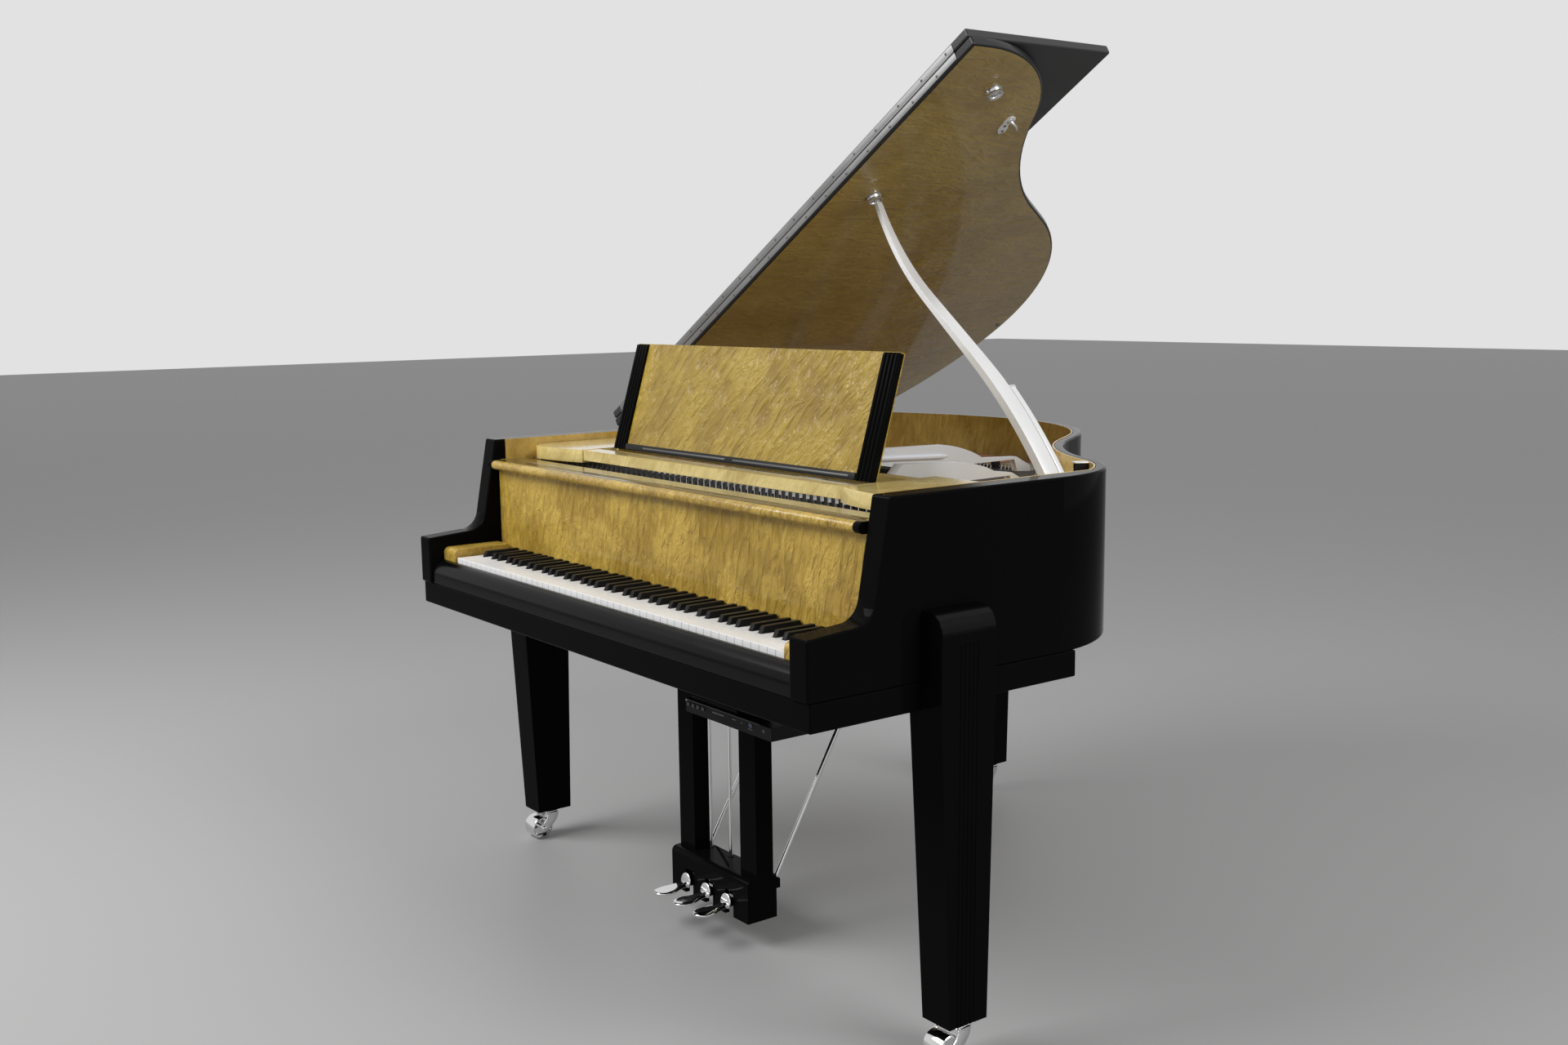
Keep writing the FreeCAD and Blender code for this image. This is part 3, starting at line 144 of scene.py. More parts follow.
def rectangle(low, high, radius, steps=4):
    """Outline of a rectangle whose corners are quarter circles."""
    angle = np.linspace(0, math.pi / 2, steps)
    corners = []
    for number, (x, y) in enumerate(((1, 1), (-1, 1), (-1, -1), (1, -1))):
        turn = angle + number * math.pi / 2
        centre_x = (high[0] - radius) if x > 0 else (low[0] + radius)
        centre_y = (high[1] - radius) if y > 0 else (low[1] + radius)
        corners.append(np.column_stack([centre_x + radius * np.cos(turn), centre_y + radius * np.sin(turn)]))
    return np.concatenate(corners)


def soft_box(low, high, corner, rim):
    """Box with rounded upright corners and rounded top and bottom rims."""
    return slab(rectangle(low[:2], high[:2], corner), edge_rings(low[2], high[2], rim))


def turned(profile, start, axis, count=32):
    """Surface of revolution: (radius, distance) pairs turned about an axis from a start point."""
    axis = np.asarray(axis, float) / np.linalg.norm(axis)
    side = np.cross(axis, (0.3, 0.5, 0.81))
    side /= np.linalg.norm(side)
    other = np.cross(axis, side)
    angle = np.linspace(0, 2 * math.pi, count, endpoint=False)
    ring = np.cos(angle)[:, None] * side + np.sin(angle)[:, None] * other
    profile = np.asarray(profile, float)
    middle = np.asarray(start, float) + profile[:, 1, None] * axis
    points = profile[:, 0, None, None] * ring + middle[:, None]
    return points, tube_faces(len(profile), count)


def carried(profile, path, sideways, scale=None):
    """Closed profile of (side, up) pairs carried along a path; sideways is the profile's first direction."""
    path = np.asarray(path, float)
    tangent = np.gradient(path, axis=0)
    tangent /= np.linalg.norm(tangent, axis=1)[:, None]
    side = np.broadcast_to(np.asarray(sideways, float), path.shape)
    side = side - np.sum(side * tangent, axis=1)[:, None] * tangent
    side /= np.linalg.norm(side, axis=1)[:, None]
    up = np.cross(tangent, side)
    profile = np.asarray(profile, float)
    if profile.ndim == 2:
        profile = np.broadcast_to(profile, (len(path),) + profile.shape)
    if scale is not None:
        profile = profile * np.asarray(scale)[:, None, None]
    points = path[:, None] + profile[:, :, :1] * side[:, None] + profile[:, :, 1:] * up[:, None]
    return points, tube_faces(len(path), profile.shape[1])


def arc(centre, radius, start, end, count):
    """Points of an arc about a centre between two directions in degrees."""
    angle = np.radians(np.linspace(start, end, count))
    return np.column_stack([centre[0] + radius * np.cos(angle), centre[1] + radius * np.sin(angle)])


def across(points):
    """Points drawn as (depth, height, distance across) put into (across, depth, height)."""
    return np.asarray(points, float).reshape(-1, 3)[:, [2, 0, 1]]


# Shader building

def add(tree, kind, inputs=None, **settings):
    """Node with settings, and its inputs, by name or number, either linked or set."""
    node = tree.nodes.new(kind)
    for key, value in settings.items():
        setattr(node, key, value)
    for socket, value in (inputs or {}).items():
        if isinstance(value, bpy.types.NodeSocket):
            tree.links.new(value, node.inputs[socket])
        else:
            node.inputs[socket].default_value = value
    return node


def effect(name, inputs, outputs):
    """Empty node group with named sockets; gives the tree, the sockets that come in and those that go out."""
    tree = bpy.data.node_groups.new(name, "ShaderNodeTree")
    kinds = {"vector": "NodeSocketVector", "colour": "NodeSocketColor", "value": "NodeSocketFloat"}
    for label, kind, default in inputs:
        socket = tree.interface.new_socket(label, in_out="INPUT", socket_type=kinds[kind])
        if default is not None:
            socket.default_value = default
    for label, kind in outputs:
        tree.interface.new_socket(label, in_out="OUTPUT", socket_type=kinds[kind])
    entry = tree.nodes.new("NodeGroupInput")
    leave = tree.nodes.new("NodeGroupOutput")
    return tree, entry.outputs, leave.inputs


def ramp(tree, value, low, high):
    """Value spread from 0 at low to 1 at high."""
    return add(tree, "ShaderNodeMapRange", {"Value": value, "From Min": low, "From Max": high}).outputs[0]


def between(tree, share, low, high):
    """Value that goes from low to high as the share goes from 0 to 1."""
    return add(tree, "ShaderNodeMapRange", {"Value": share, "To Min": low, "To Max": high}).outputs[0]


def mixed(tree, factor, first, second):
    """Colour that goes from the first to the second as the factor goes from 0 to 1."""
    return add(tree, "ShaderNodeMix", {0: factor, 6: first, 7: second}, data_type="RGBA").outputs[2]


def noise(tree, vector, scale, detail=2.0, rough=0.5, twist=0.0):
    """Soft noise between 0 and 1."""
    inputs = {"Vector": vector, "Scale": scale, "Detail": detail, "Roughness": rough, "Distortion": twist}
    return add(tree, "ShaderNodeTexNoise", inputs).outputs[0]


def stretched(tree, vector, lengths, rotation=(0, 0, 0)):
    """Coordinates turned, then divided by a length along each way, so that marks come out that long."""
    turn = tuple(math.radians(angle) for angle in rotation)
    inputs = {"Vector": vector, "Scale": lengths, "Rotation": turn}
    return add(tree, "ShaderNodeMapping", inputs, vector_type="TEXTURE").outputs[0]


def worked(tree, first, second, operation="MULTIPLY"):
    """Two values multiplied, or put together by another operation."""
    return add(tree, "ShaderNodeMath", {0: first, 1: second}, operation=operation).outputs[0]


def figure_effect():
    """Figured veneer: ripples of two sizes that swell and fade in soft clouds, with small dark pits."""
    inputs = [("Vector", "vector", None), ("Pale", "colour", (1, 1, 1, 1)), ("Dark", "colour", (0, 0, 0, 1))]
    tree, given, leave = effect("veneer_figure", inputs, [("Color", "colour"), ("Height", "value")])
    clouds = noise(tree, given["Vector"], 8, 3)
    ripples = noise(tree, stretched(tree, given["Vector"], (0.018, 0.035, 0.06)), 1, 3, 0.55, 1.0)
    curls = noise(tree, stretched(tree, given["Vector"], (0.010, 0.02, 0.024), (0, 14, 0)), 1, 2, 0.5, 0.8)
    pits = ramp(tree, noise(tree, given["Vector"], 300, 1), 0.70, 0.78)
    curled = worked(tree, curls, worked(tree, ramp(tree, clouds, 0.42, 0.62), 0.45))
    waves = worked(tree, ripples, curled, "ADD")
    tone = worked(tree, worked(tree, waves, 0.65), worked(tree, clouds, 0.35), "ADD")
    # The colour is darker where the ripples run low: partly the veneer's own figure, partly painted shade in
    # the ripple valleys.
    colour = mixed(tree, ramp(tree, tone, 0.38, 0.68), given["Dark"], given["Pale"])
    pitted = mixed(tree, worked(tree, pits, 0.5), colour, given["Dark"])
    tree.links.new(pitted, leave["Color"])
    tree.links.new(waves, leave["Height"])
    return tree


def haze_effect():
    """Polished skin: faint cloudy wiping marks in the roughness and a slight orange peel in the height."""
    inputs = [("Vector", "vector", None), ("Clean", "value", 0.05), ("Hazy", "value", 0.12)]
    tree, given, leave = effect("polish_haze", inputs, [("Roughness", "value"), ("Height", "value")])
    marks = noise(tree, stretched(tree, given["Vector"], (0.11, 0.11, 0.05)), 1, 4, 0.6)
    rough = between(tree, ramp(tree, marks, 0.35, 0.75), given["Clean"], given["Hazy"])
    tree.links.new(rough, leave["Roughness"])
    tree.links.new(noise(tree, given["Vector"], 240, 2), leave["Height"])
    return tree


def grain_effect():
    """Straight wood grain along y: bands bent by a slow noise, with fine fibres over them."""
    inputs = [("Vector", "vector", None), ("Pale", "colour", (1, 1, 1, 1)), ("Dark", "colour", (0, 0, 0, 1))]
    tree, given, leave = effect("straight_grain", inputs, [("Color", "colour"), ("Height", "value")])
    bands = noise(tree, stretched(tree, given["Vector"], (0.008, 0.22, 0.008)), 1, 3, 0.6, 0.4)
    fibres = noise(tree, stretched(tree, given["Vector"], (0.0016, 0.07, 0.0016)), 1, 2)
    tone = worked(tree, worked(tree, bands, 0.7), worked(tree, fibres, 0.3), "ADD")
    colour = mixed(tree, ramp(tree, tone, 0.32, 0.66), given["Dark"], given["Pale"])
    tree.links.new(colour, leave["Color"])
    tree.links.new(tone, leave["Height"])
    return tree


def grit_effect():
    """Fine skin of cast, brushed or moulded pieces: small bumps, and a tone that drifts over the piece."""
    inputs = [("Vector", "vector", None), ("Grain", "value", 300.0)]
    inputs += [("Clean", "value", 0.2), ("Worn", "value", 0.4)]
    outputs = [("Tone", "value"), ("Roughness", "value"), ("Height", "value")]
    tree, given, leave = effect("fine_grit", inputs, outputs)
    tone = ramp(tree, noise(tree, given["Vector"], 7, 3), 0.3, 0.7)
    tree.links.new(tone, leave["Tone"])
    tree.links.new(between(tree, tone, given["Clean"], given["Worn"]), leave["Roughness"])
    tree.links.new(noise(tree, given["Vector"], given["Grain"]), leave["Height"])
    return tree


EFFECTS = {
    "figure": figure_effect(),
    "haze": haze_effect(),
    "grain": grain_effect(),
    "grit": grit_effect(),
}


FINISHES = {}


def blank(name, **sockets):
    """Finish with one shader, kept under its name; gives its tree, the shader and the object coordinates."""
    material = bpy.data.materials.new(name)
    material.use_nodes = True
    FINISHES[name] = material
    tree = material.node_tree
    shader = tree.nodes["Principled BSDF"]
    for label, value in sockets.items():
        shader.inputs[label.replace("_", " ")].default_value = value
    place = add(tree, "ShaderNodeTexCoord").outputs["Object"]
    return tree, shader, place


def use(tree, name, inputs):
    """Outputs of one of the effects with the given inputs."""
    return add(tree, "ShaderNodeGroup", inputs, node_tree=EFFECTS[name]).outputs


def bumped(tree, shader, height, distance):
    """Raises the shader's surface by a height of 0 to 1 times the distance."""
    bump = add(tree, "ShaderNodeBump", {"Height": height, "Distance": distance, "Strength": 1.0})
    tree.links.new(bump.outputs[0], shader.inputs["Normal"])


def lacquer(name, colour, clean, hazy, specular=0.012):
    """Polished lacquer with faint wiping marks."""
    tree, shader, place = blank(name, Base_Color=colour, Specular_IOR_Level=specular)
    skin = use(tree, "haze", {"Vector": place, "Clean": clean, "Hazy": hazy})
    tree.links.new(skin["Roughness"], shader.inputs["Roughness"])
    bumped(tree, shader, skin["Height"], 0.00002)


def veneer(name, pale, dark, turn=(0, 0, 0), relief=0.005, coat=0.5):
    """Figured veneer under clear lacquer; turn lays the ripples along the piece, relief raises them."""
    tree, shader, place = blank(name, Coat_Weight=coat, Coat_Roughness=0.08, Specular_IOR_Level=0.3)
    laid = stretched(tree, place, (1, 1, 1), turn)
    figure = use(tree, "figure", {"Vector": laid, "Pale": pale, "Dark": dark})
    skin = use(tree, "haze", {"Vector": place, "Clean": 0.22, "Hazy": 0.34})
    tree.links.new(figure["Color"], shader.inputs["Base Color"])
    tree.links.new(skin["Roughness"], shader.inputs["Roughness"])
    bumped(tree, shader, figure["Height"], relief)


def timber(name, pale, dark, rough):
    """Plain wood with straight grain."""
    tree, shader, place = blank(name, Roughness=rough, Specular_IOR_Level=0.3)
    grain = use(tree, "grain", {"Vector": place, "Pale": pale, "Dark": dark})
    tree.links.new(grain["Color"], shader.inputs["Base Color"])
    bumped(tree, shader, grain["Height"], 0.0002)


def gritty(name, low, high, clean, worn, metallic, grain=300, bump=0.00003, specular=0.5):
    """Metal, paint or plastic whose colour and roughness drift a little, with a fine skin."""
    tree, shader, place = blank(name, Metallic=metallic, Specular_IOR_Level=specular)
    skin = use(tree, "grit", {"Vector": place, "Grain": grain, "Clean": clean, "Worn": worn})
    colour = mixed(tree, skin["Tone"], low, high)
    tree.links.new(colour, shader.inputs["Base Color"])
    tree.links.new(skin["Roughness"], shader.inputs["Roughness"])
    bumped(tree, shader, skin["Height"], bump)


GOLD_PALE = (0.42, 0.285, 0.034, 1)
GOLD_DARK = (0.27, 0.165, 0.012, 1)
DESK_SLANT = (0, 32, 0)
FALL_SLANT = (0, 12, 0)
LID_SLANT = (84, 0, 0)


def grey(level, warm=0.0):
    """Grey, or a slightly warm one."""
    return (level + warm, level, level - warm, 1)


lacquer("black_lacquer", grey(0.0042), 0.06, 0.12)
lacquer("flap_grey", grey(0.034), 0.34, 0.42, 0.3)
lacquer("lid_black", grey(0.018), 0.30, 0.38, 0.25)
lacquer("satin_black", grey(0.002), 0.18, 0.24, 0.1)
veneer("golden_veneer", GOLD_PALE, GOLD_DARK, DESK_SLANT, 0.009, 0.35)
veneer("fall_veneer", (0.58, 0.39, 0.072, 1), (0.34, 0.21, 0.030, 1), FALL_SLANT, 0.010, 0.3)
veneer("lining_veneer", (0.70, 0.48, 0.13, 1), (0.46, 0.29, 0.06, 1), FALL_SLANT, 0.003)
# Much paler copy of the desk's gold veneer: painted light for the bright sheen on the tray's upturned top.
veneer("lit_tray_veneer", (0.84, 0.67, 0.26, 1), (0.60, 0.45, 0.14, 1), DESK_SLANT, 0.002, 1.0)
# Dark copy of the gold veneer: painted shade on the stretcher and on the fallboard's top, under the desk
# tray.
veneer("dark_veneer", (0.09, 0.06, 0.016, 1), (0.05, 0.03, 0.008, 1), FALL_SLANT, 0.002, 1.0)
veneer("lid_veneer", (0.41, 0.285, 0.076, 1), (0.32, 0.21, 0.05, 1), LID_SLANT, 0.006)
gritty("silver_plate", (0.74, 0.77, 0.82, 1), (0.80, 0.83, 0.88, 1), 0.26, 0.36, 0.15, 260, 0.00008)
timber("spruce", (0.55, 0.38, 0.17, 1), (0.42, 0.27, 0.11, 1), 0.42)
timber("hardwood", (0.33, 0.22, 0.08, 1), (0.25, 0.16, 0.055, 1), 0.5)
gritty("bright_steel", grey(0.17), grey(0.23), 0.34, 0.44, 0.4, 500)
gritty("satin_silver", grey(0.88), grey(0.93), 0.24, 0.32, 0.35, 420)
gritty("chrome", grey(0.72), grey(0.82), 0.04, 0.10, 1.0, 120, 0.00001)
gritty("matte_black", grey(0.008), grey(0.012), 0.45, 0.6, 0.0, 700, 0.00004, 0.15)
gritty("button_grey", grey(0.05), grey(0.08), 0.4, 0.5, 0.0, 600)
gritty("damper_felt", grey(0.012), grey(0.03), 0.6, 0.8, 0.0, 900, 0.0002, 0.3)
gritty("key_white", grey(0.90), grey(0.93), 0.16, 0.26, 0.0, 90, 0.00001)
gritty("key_black", grey(0.010), grey(0.014), 0.3, 0.4, 0.0, 260, 0.00002, 0.08)
gritty("hammer_felt", grey(0.60, 0.03), grey(0.68, 0.03), 0.8, 0.95, 0.0, 900, 0.0003, 0.2)
# Dark grey of hinges, screws and trim; the tuning pins, the panel's top edge line and the desk foot's strips
# also wear it as painted light.
gritty("hinge_grey", grey(0.075), grey(0.105), 0.35, 0.45, 0.3, 420)
gritty("wound_copper", (0.16, 0.075, 0.03, 1), (0.22, 0.10, 0.045, 1), 0.35, 0.45, 0.6, 600)
gritty("pale_lamp", grey(0.55), grey(0.62), 0.2, 0.3, 0.0, 300)
gritty("blue_lens", (0.06, 0.13, 0.32, 1), (0.08, 0.18, 0.40, 1), 0.1, 0.2, 0.0, 300)


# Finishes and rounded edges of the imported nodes

ROUNDED = {
    "rim_shell": 4, "keybed": 3, "key_blocks": 2, "left_leg": 2.5, "right_leg": 2.5, "rear_leg": 2.5,
    "lyre": 3, "main_lid": 4, "fly_lid": 4, "stretcher": 2, "fallboard": 1.5, "desk_tray": 2.5,
    "desk_panel": 2, "iron_plate": 3, "control_box": 1.5, "lid_prop": 3,
}
VARIANTS = {
    "fallboard": "fall_veneer", "key_blocks": "fall_veneer", "rim_lining": "lining_veneer",
    "desk_tray": "lit_tray_veneer", "stretcher": "dark_veneer", "main_lid": "lid_black",
    # The tuning pins wear the dark hinge grey: painted shade under the front of the desk tray.
    "fly_lid": "flap_grey", "tuning_pins": "hinge_grey",
}
for section in ("bass", "middle", "treble"):
    ROUNDED[f"white_keys_{section}"] = 0.8
    ROUNDED[f"black_keys_{section}"] = 1.6


def round_edges(obj, width):
    """Modifiers that join loose triangles, take out the edges inside flat faces and round those left."""
    weld = obj.modifiers.new("join", "WELD")
    weld.merge_threshold = 1e-6
    flatten = obj.modifiers.new("flatten", "DECIMATE")
    flatten.decimate_type = "DISSOLVE"
    flatten.angle_limit = math.radians(0.5)
    bevel = obj.modifiers.new("round", "BEVEL")
    bevel.width = width * MILLIMETRE
    bevel.segments = 3
    bevel.limit_method = "ANGLE"
    bevel.angle_limit = math.radians(40)


for row in frame["record"]["subparts"]:
    obj = frame["nodes"][row["node"]]
    obj.data.materials.clear()
    obj.data.materials.append(FINISHES[VARIANTS.get(row["node"], row["material_slot"])])
    if row["node"] in ROUNDED:
        round_edges(obj, ROUNDED[row["node"]])


# Outline of the rim and the lid

CASE_HALF = 721.4
CHEEK = ((434.4, 535), 287)
WAIST = ((841.1, 1448.5), 713)
HIP = ((-304.3, 840), 580)
TAIL = ((-304.3, 520), 900)
CORNER = ((-666.4, 1283), 55)
CHEEK_TURN = 66
SLOPE = 32.5


def rim_line(inset, front, count=24):
    """The rim's outer line moved inwards, from treble to bass: cheek, waist, hip, tail and corner arcs."""
    corner_start = math.degrees(math.atan2(CORNER[0][1] - TAIL[0][1], CORNER[0][0] - TAIL[0][0]))
    return np.concatenate([
        [(CASE_HALF - inset, front)],
        arc(CHEEK[0], CHEEK[1] - inset, 0, CHEEK_TURN, count),
        arc(WAIST[0], WAIST[1] + inset, 180 + CHEEK_TURN, 180 + SLOPE, count),
        arc(HIP[0], HIP[1] - inset, SLOPE, 90, count),
        arc(TAIL[0], TAIL[1] - inset, 90, corner_start, count)[1:],
        arc(CORNER[0], CORNER[1] - inset, corner_start, 180, 10)[1:],
        [(-(CASE_HALF - inset), front)],
    ])


# Lid

LID_HINGE = (-736.4, 993.5)
LID_ANGLE = math.radians(30.75)
LID_FRONT = 496


def on_lid(points):
    """Points of the closed lid turned up about the hinge line by the propped angle."""
    points = np.asarray(points, float).reshape(-1, 3)
    out, up = points[:, 0] - LID_HINGE[0], points[:, 2] - LID_HINGE[1]
    x = LID_HINGE[0] + out * math.cos(LID_ANGLE) - up * math.sin(LID_ANGLE)
    z = LID_HINGE[1] + out * math.sin(LID_ANGLE) + up * math.cos(LID_ANGLE)
    return np.column_stack([x, points[:, 1], z])


def lid_veneer():
    """Veneered face of the lid's underside: the lid's outline set in by its rounded edge."""
    overhang, front_edge, bass_edge = 11.5, 4.5, 10
    outline = rim_line(-overhang, LID_FRONT + front_edge)
    outline[:, 0] = np.maximum(outline[:, 0], LID_HINGE[0] + bass_edge)
    points, faces = slab(outline, [(0, LID_HINGE[1] - 0.4), (0, LID_HINGE[1] + 0.6)])
    return piece("lid_veneer", on_lid(points), faces, "lid", "lid_veneer")


lid_veneer()


# Key slip

def bull_nose():
    """Key slip with a broad round front: the profile rises straight, then rolls over in a quarter ellipse."""
    back, front, bottom, top, half = -4.2, BED_FRONT, 675.2, 727, 673
    roll_depth, roll_height, edge = 26, 34, 0.6
    turn = np.radians(np.linspace(0, 90, 12))
    roll = np.column_stack([front + roll_depth * (1 - np.cos(turn)), top - roll_height * (1 - np.sin(turn))])
    foot = [(back, bottom), (front + 1, bottom), (front, bottom + 1)]
    profile = np.concatenate([foot, roll, [(back, top)]])
    points, faces = slab(profile, [(edge, -half), (0, edge - half), (0, half - edge), (edge, half)])
    slip = piece("rounded_key_slip", across(points), faces, "case", "satin_black", 40)
    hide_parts("key_slip")


bull_nose()


# Leg caps

CAP_ROOT = 722
CAP_BEND = (737, 796)
CAP_FACE = (772.5, 758)
CAP_DEPTHS = (200.8, 321.2)


def leg_caps():
    """Thin satin skins over both front legs' tops: a flat, a quarter ellipse and a raised line midway."""
    turn = np.linspace(0, math.pi / 2, 25)
    out_way = CAP_BEND[0] + (CAP_FACE[0] - CAP_BEND[0]) * np.sin(turn)
    height = CAP_FACE[1] + (CAP_BEND[1] - CAP_FACE[1]) * np.cos(turn)
    line = np.concatenate([[(CAP_ROOT, CAP_BEND[1])], np.column_stack([out_way, height])])
    heading = np.gradient(line, axis=0)
    heading /= np.linalg.norm(heading, axis=1)[:, None]
    normal = np.column_stack([-heading[:, 1], heading[:, 0]])
    skin, ridge, ridge_place, ridge_width = 0.5, 0.9, 0.55, 0.05
    share = np.linspace(0, 1, len(line))
    lift = skin + ridge * np.exp(-((share - ridge_place) / ridge_width) ** 2)
    profile = np.concatenate([line + normal * lift[:, None], (line - normal)[::-1]])
    parts = []
    for side in (1, -1):
        points, faces = slab(profile, [(0, depth) for depth in CAP_DEPTHS])
        points = points[:, [0, 2, 1]]
        points[:, 0] *= side
        parts.append((points, faces))
    piece("leg_caps", *joined(parts), "case", "satin_black", 50)


leg_caps()


# Casters

CASTERS = {"left": (-730.5, 269), "right": (730.5, 269), "rear": (-317.5, 1364.5)}
CASTER_TRAIL = 28
WHEEL_RADIUS = 27


def band(middle, halves, steps=9):
    """Outline of a strip along a smooth line through some points, half as wide as given, with a round end."""
    middle = np.asarray(middle, float)
    share = np.linspace(0, 1, len(middle))
    fine = np.linspace(0, 1, 14)
    bend = np.polynomial.polynomial.polyfit(share, middle, len(middle) - 1)
    line = np.polynomial.polynomial.polyval(fine, bend).T
    half = np.interp(fine, share, halves)
    along = np.gradient(line, axis=0)
    along /= np.linalg.norm(along, axis=1)[:, None]
    side = along @ np.array([[0, 1], [-1, 0]])
    heading = math.degrees(math.atan2(side[-1, 1], side[-1, 0]))
    cap = arc(line[-1], half[-1], heading, heading - 180, steps)[1:-1]
    return np.concatenate([line + side * half[:, None], cap, (line - side * half[:, None])[::-1]])


def caster(name, x, y):
    """Chrome roller with sunk ends in a fork of two bent arms under a swivel plate."""
    axle = y - CASTER_TRAIL
    rim = [(7, 7), (18, 8), (20.5, 10), (21.5, 21), (23, 22.8), (25, 22.6), (26.4, 21.4)]
    rim.append((WHEEL_RADIUS, 19.5))
    profile = [(radius, -distance) for radius, distance in rim] + rim[::-1]
    wheel = turned(profile, (x, axle, WHEEL_RADIUS), (1, 0, 0), 40)
    roller = piece(f"{name}_roller", *wheel, f"{name}_wheel", "chrome", 30)
    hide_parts(f"{name}_caster_wheel")
    arm_line = [(y - 3, 67), (y - 5, 52), (y - 15, 38), (axle, WHEEL_RADIUS)]
    arm_outline = band(arm_line, (15, 13.5, 11, 10.5))
    head = [(6.5, 29.5), (6.5, 31), (5, 32.4), (2.5, 33)]
    arms = []
    for side in (1, -1):
        arm, faces = slab(arm_outline, edge_rings(25.6, 30, 1.4))
        arm = across(arm)
        arm[:, 0] = x + side * arm[:, 0]
        arms.append((arm, faces))
        arms.append(turned(head, (x, axle, WHEEL_RADIUS), (side, 0, 0), 20))
    plate = soft_box((x - 30, y - 18, 61.5), (x + 30, y + 13, 67.5), 5, 1.5)
    stem = turned([(19, 66.5), (21, 67.5), (21, 69), (19, 70.2)], (x, y, 0), (0, 0, 1), 36)
    pin = turned([(4, -30), (4, 30)], (x, axle, WHEEL_RADIUS), (1, 0, 0), 16)
    fork = piece(f"{name}_fork_arms", *joined(arms + [plate, stem, pin]), f"{name}_fork", "chrome", 30)
    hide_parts(f"{name}_caster_fork")


for caster_name, caster_place in CASTERS.items():
    caster(caster_name, *caster_place)


# Pedals

PEDAL_PITCH = 74
PEDAL_PLACES = {"left": -PEDAL_PITCH, "middle": 0, "right": PEDAL_PITCH}
SHIELD_LEAN = 0.17


def flat_oval(width, height, count=28, fullness=0.55):
    """Section between an ellipse and a rectangle: cosine and sine with their sizes raised to a power."""
    angle = np.linspace(0, 2 * math.pi, count, endpoint=False)
    cosine, sine = np.cos(angle), np.sin(angle)
    side = np.sign(cosine) * np.abs(cosine) ** fullness
    rise = np.sign(sine) * np.abs(sine) ** fullness
    return np.column_stack([side * width, rise * height])


def foot_pedal(name, x):
    """Tongue with a round flat tread, a narrow neck and an upright round-topped shield before the box."""
    tread_middle, tread_radius = 187, 21
    turn = np.linspace(0.12, math.pi / 2, 8)
    nose = tread_middle - tread_radius * np.cos(turn)
    depth = np.concatenate([nose, [198, 208, 218, 228, 240, 256, 285, 317]])
    half = np.concatenate([tread_radius * np.sin(turn), [21.2, 19, 14.5, 11, 9.4, 9, 9, 9]])
    rise = np.interp(depth, (166, 187, 208, 232, 317), (71.5, 71.6, 72.6, 75, 75))
    thick = np.interp(depth, (166, 170, 208, 240, 317), (1.6, 3.4, 3.8, 5.6, 6))
    sections = np.stack([flat_oval(width, height) for width, height in zip(half, thick)])
    path = np.column_stack([np.full(len(depth), x), depth, rise])
    tongue = carried(sections, path, (1, 0, 0))
    arch = np.concatenate([arc((0, 82), 17, 0, 180, 17), [(-15.5, 74), (-12, 70), (12, 70), (15.5, 74)]])
    shield, faces = slab(arch, edge_rings(239, 244.5, 2.2, 5))
    shield = shield[:, [0, 2, 1]]
    shield[:, 1] += SHIELD_LEAN * (shield[:, 2] - 70)
    shield[:, 0] += x
    parts = joined([tongue, (shield, faces)])
    pedal = piece(f"{name}_pedal_tongue", *parts, f"{name}_foot_pedal", "chrome", 40)
    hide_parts(f"{name}_pedal")


for pedal_name, pedal_place in PEDAL_PLACES.items():
    foot_pedal(pedal_name, pedal_place)


# Control panel on the lyre

PANEL_FRONT = 262
PANEL_ROW = 465.5
PANEL_BARS = (
    ((82, 464.5), (96, 467.5)),
    ((112, 463), (118, 466)),
    ((186, 460), (193, 467)),
    ((136, 456.5), (154, 458.8)),
)
SOCKET_PLACE = (145, PANEL_FRONT, PANEL_ROW)


def panel_details():
    """Thin grey line along the panel's top edge and a pale dot at its left end, both painted highlights, then
    small bars, a round socket and a row of lamps on its front.
    """
    forwards = (0, -1, 0)
    # The strip along the top edge is a painted highlight of that edge.
    trim = [soft_box((-86, PANEL_FRONT - 0.6, 472.8), (176, PANEL_FRONT + 2, 474.4), 0.5, 0.5)]
    for (left, low), (right, high) in PANEL_BARS:
        trim.append(soft_box((left, PANEL_FRONT - 0.7, low), (right, PANEL_FRONT + 2, high), 0.8, 0.5))
    socket = [(6, -1), (6, 0.6), (5.2, 1.4), (4.2, 1.4), (3.8, 0.6)]
    trim.append(turned(socket, SOCKET_PLACE, forwards, 24))
    piece("panel_trim_and_edge_highlight", *joined(trim), "case", "hinge_grey")
    lens = [(4, -0.5), (4, 0.3), (2.4, 1.0), (0.6, 1.3)]
    piece("panel_socket", *turned(lens, SOCKET_PLACE, forwards, 20), "case", "blue_lens")
    lamp = [(1.5, -0.5), (1.5, 0.3), (0.9, 0.9), (0.3, 1.1)]
    lamps = [turned(lamp, (x, PANEL_FRONT, PANEL_ROW), forwards, 12) for x in np.arange(14, 52, 7)]
    # Pale dot at the left end of the top edge: a painted highlight.
    corner_highlight_dot = [(2.6, -1), (2.6, 0.6), (1.8, 1.5), (0.6, 1.8)]
    lamps.append(turned(corner_highlight_dot, (-85, PANEL_FRONT, 472), forwards, 16))
    piece("panel_lamps_and_highlight_dot", *joined(lamps), "case", "pale_lamp")


panel_details()


# Lid fittings

LID_HINGES = (620, 930, 1230)
HINGE_HALF = 40
FLAP_AXIS = (494, 1014)
FLAP_SPAN = 690
SCREW_PITCH = 76
CUPS = ((270, 600), (622, 641))
LOCK_HOLES = ((508, 760.5), (524, 754))
LOCK_PIVOT = (540, 754)
BUMPERS = ((-276, 1418), (-690, 1150))


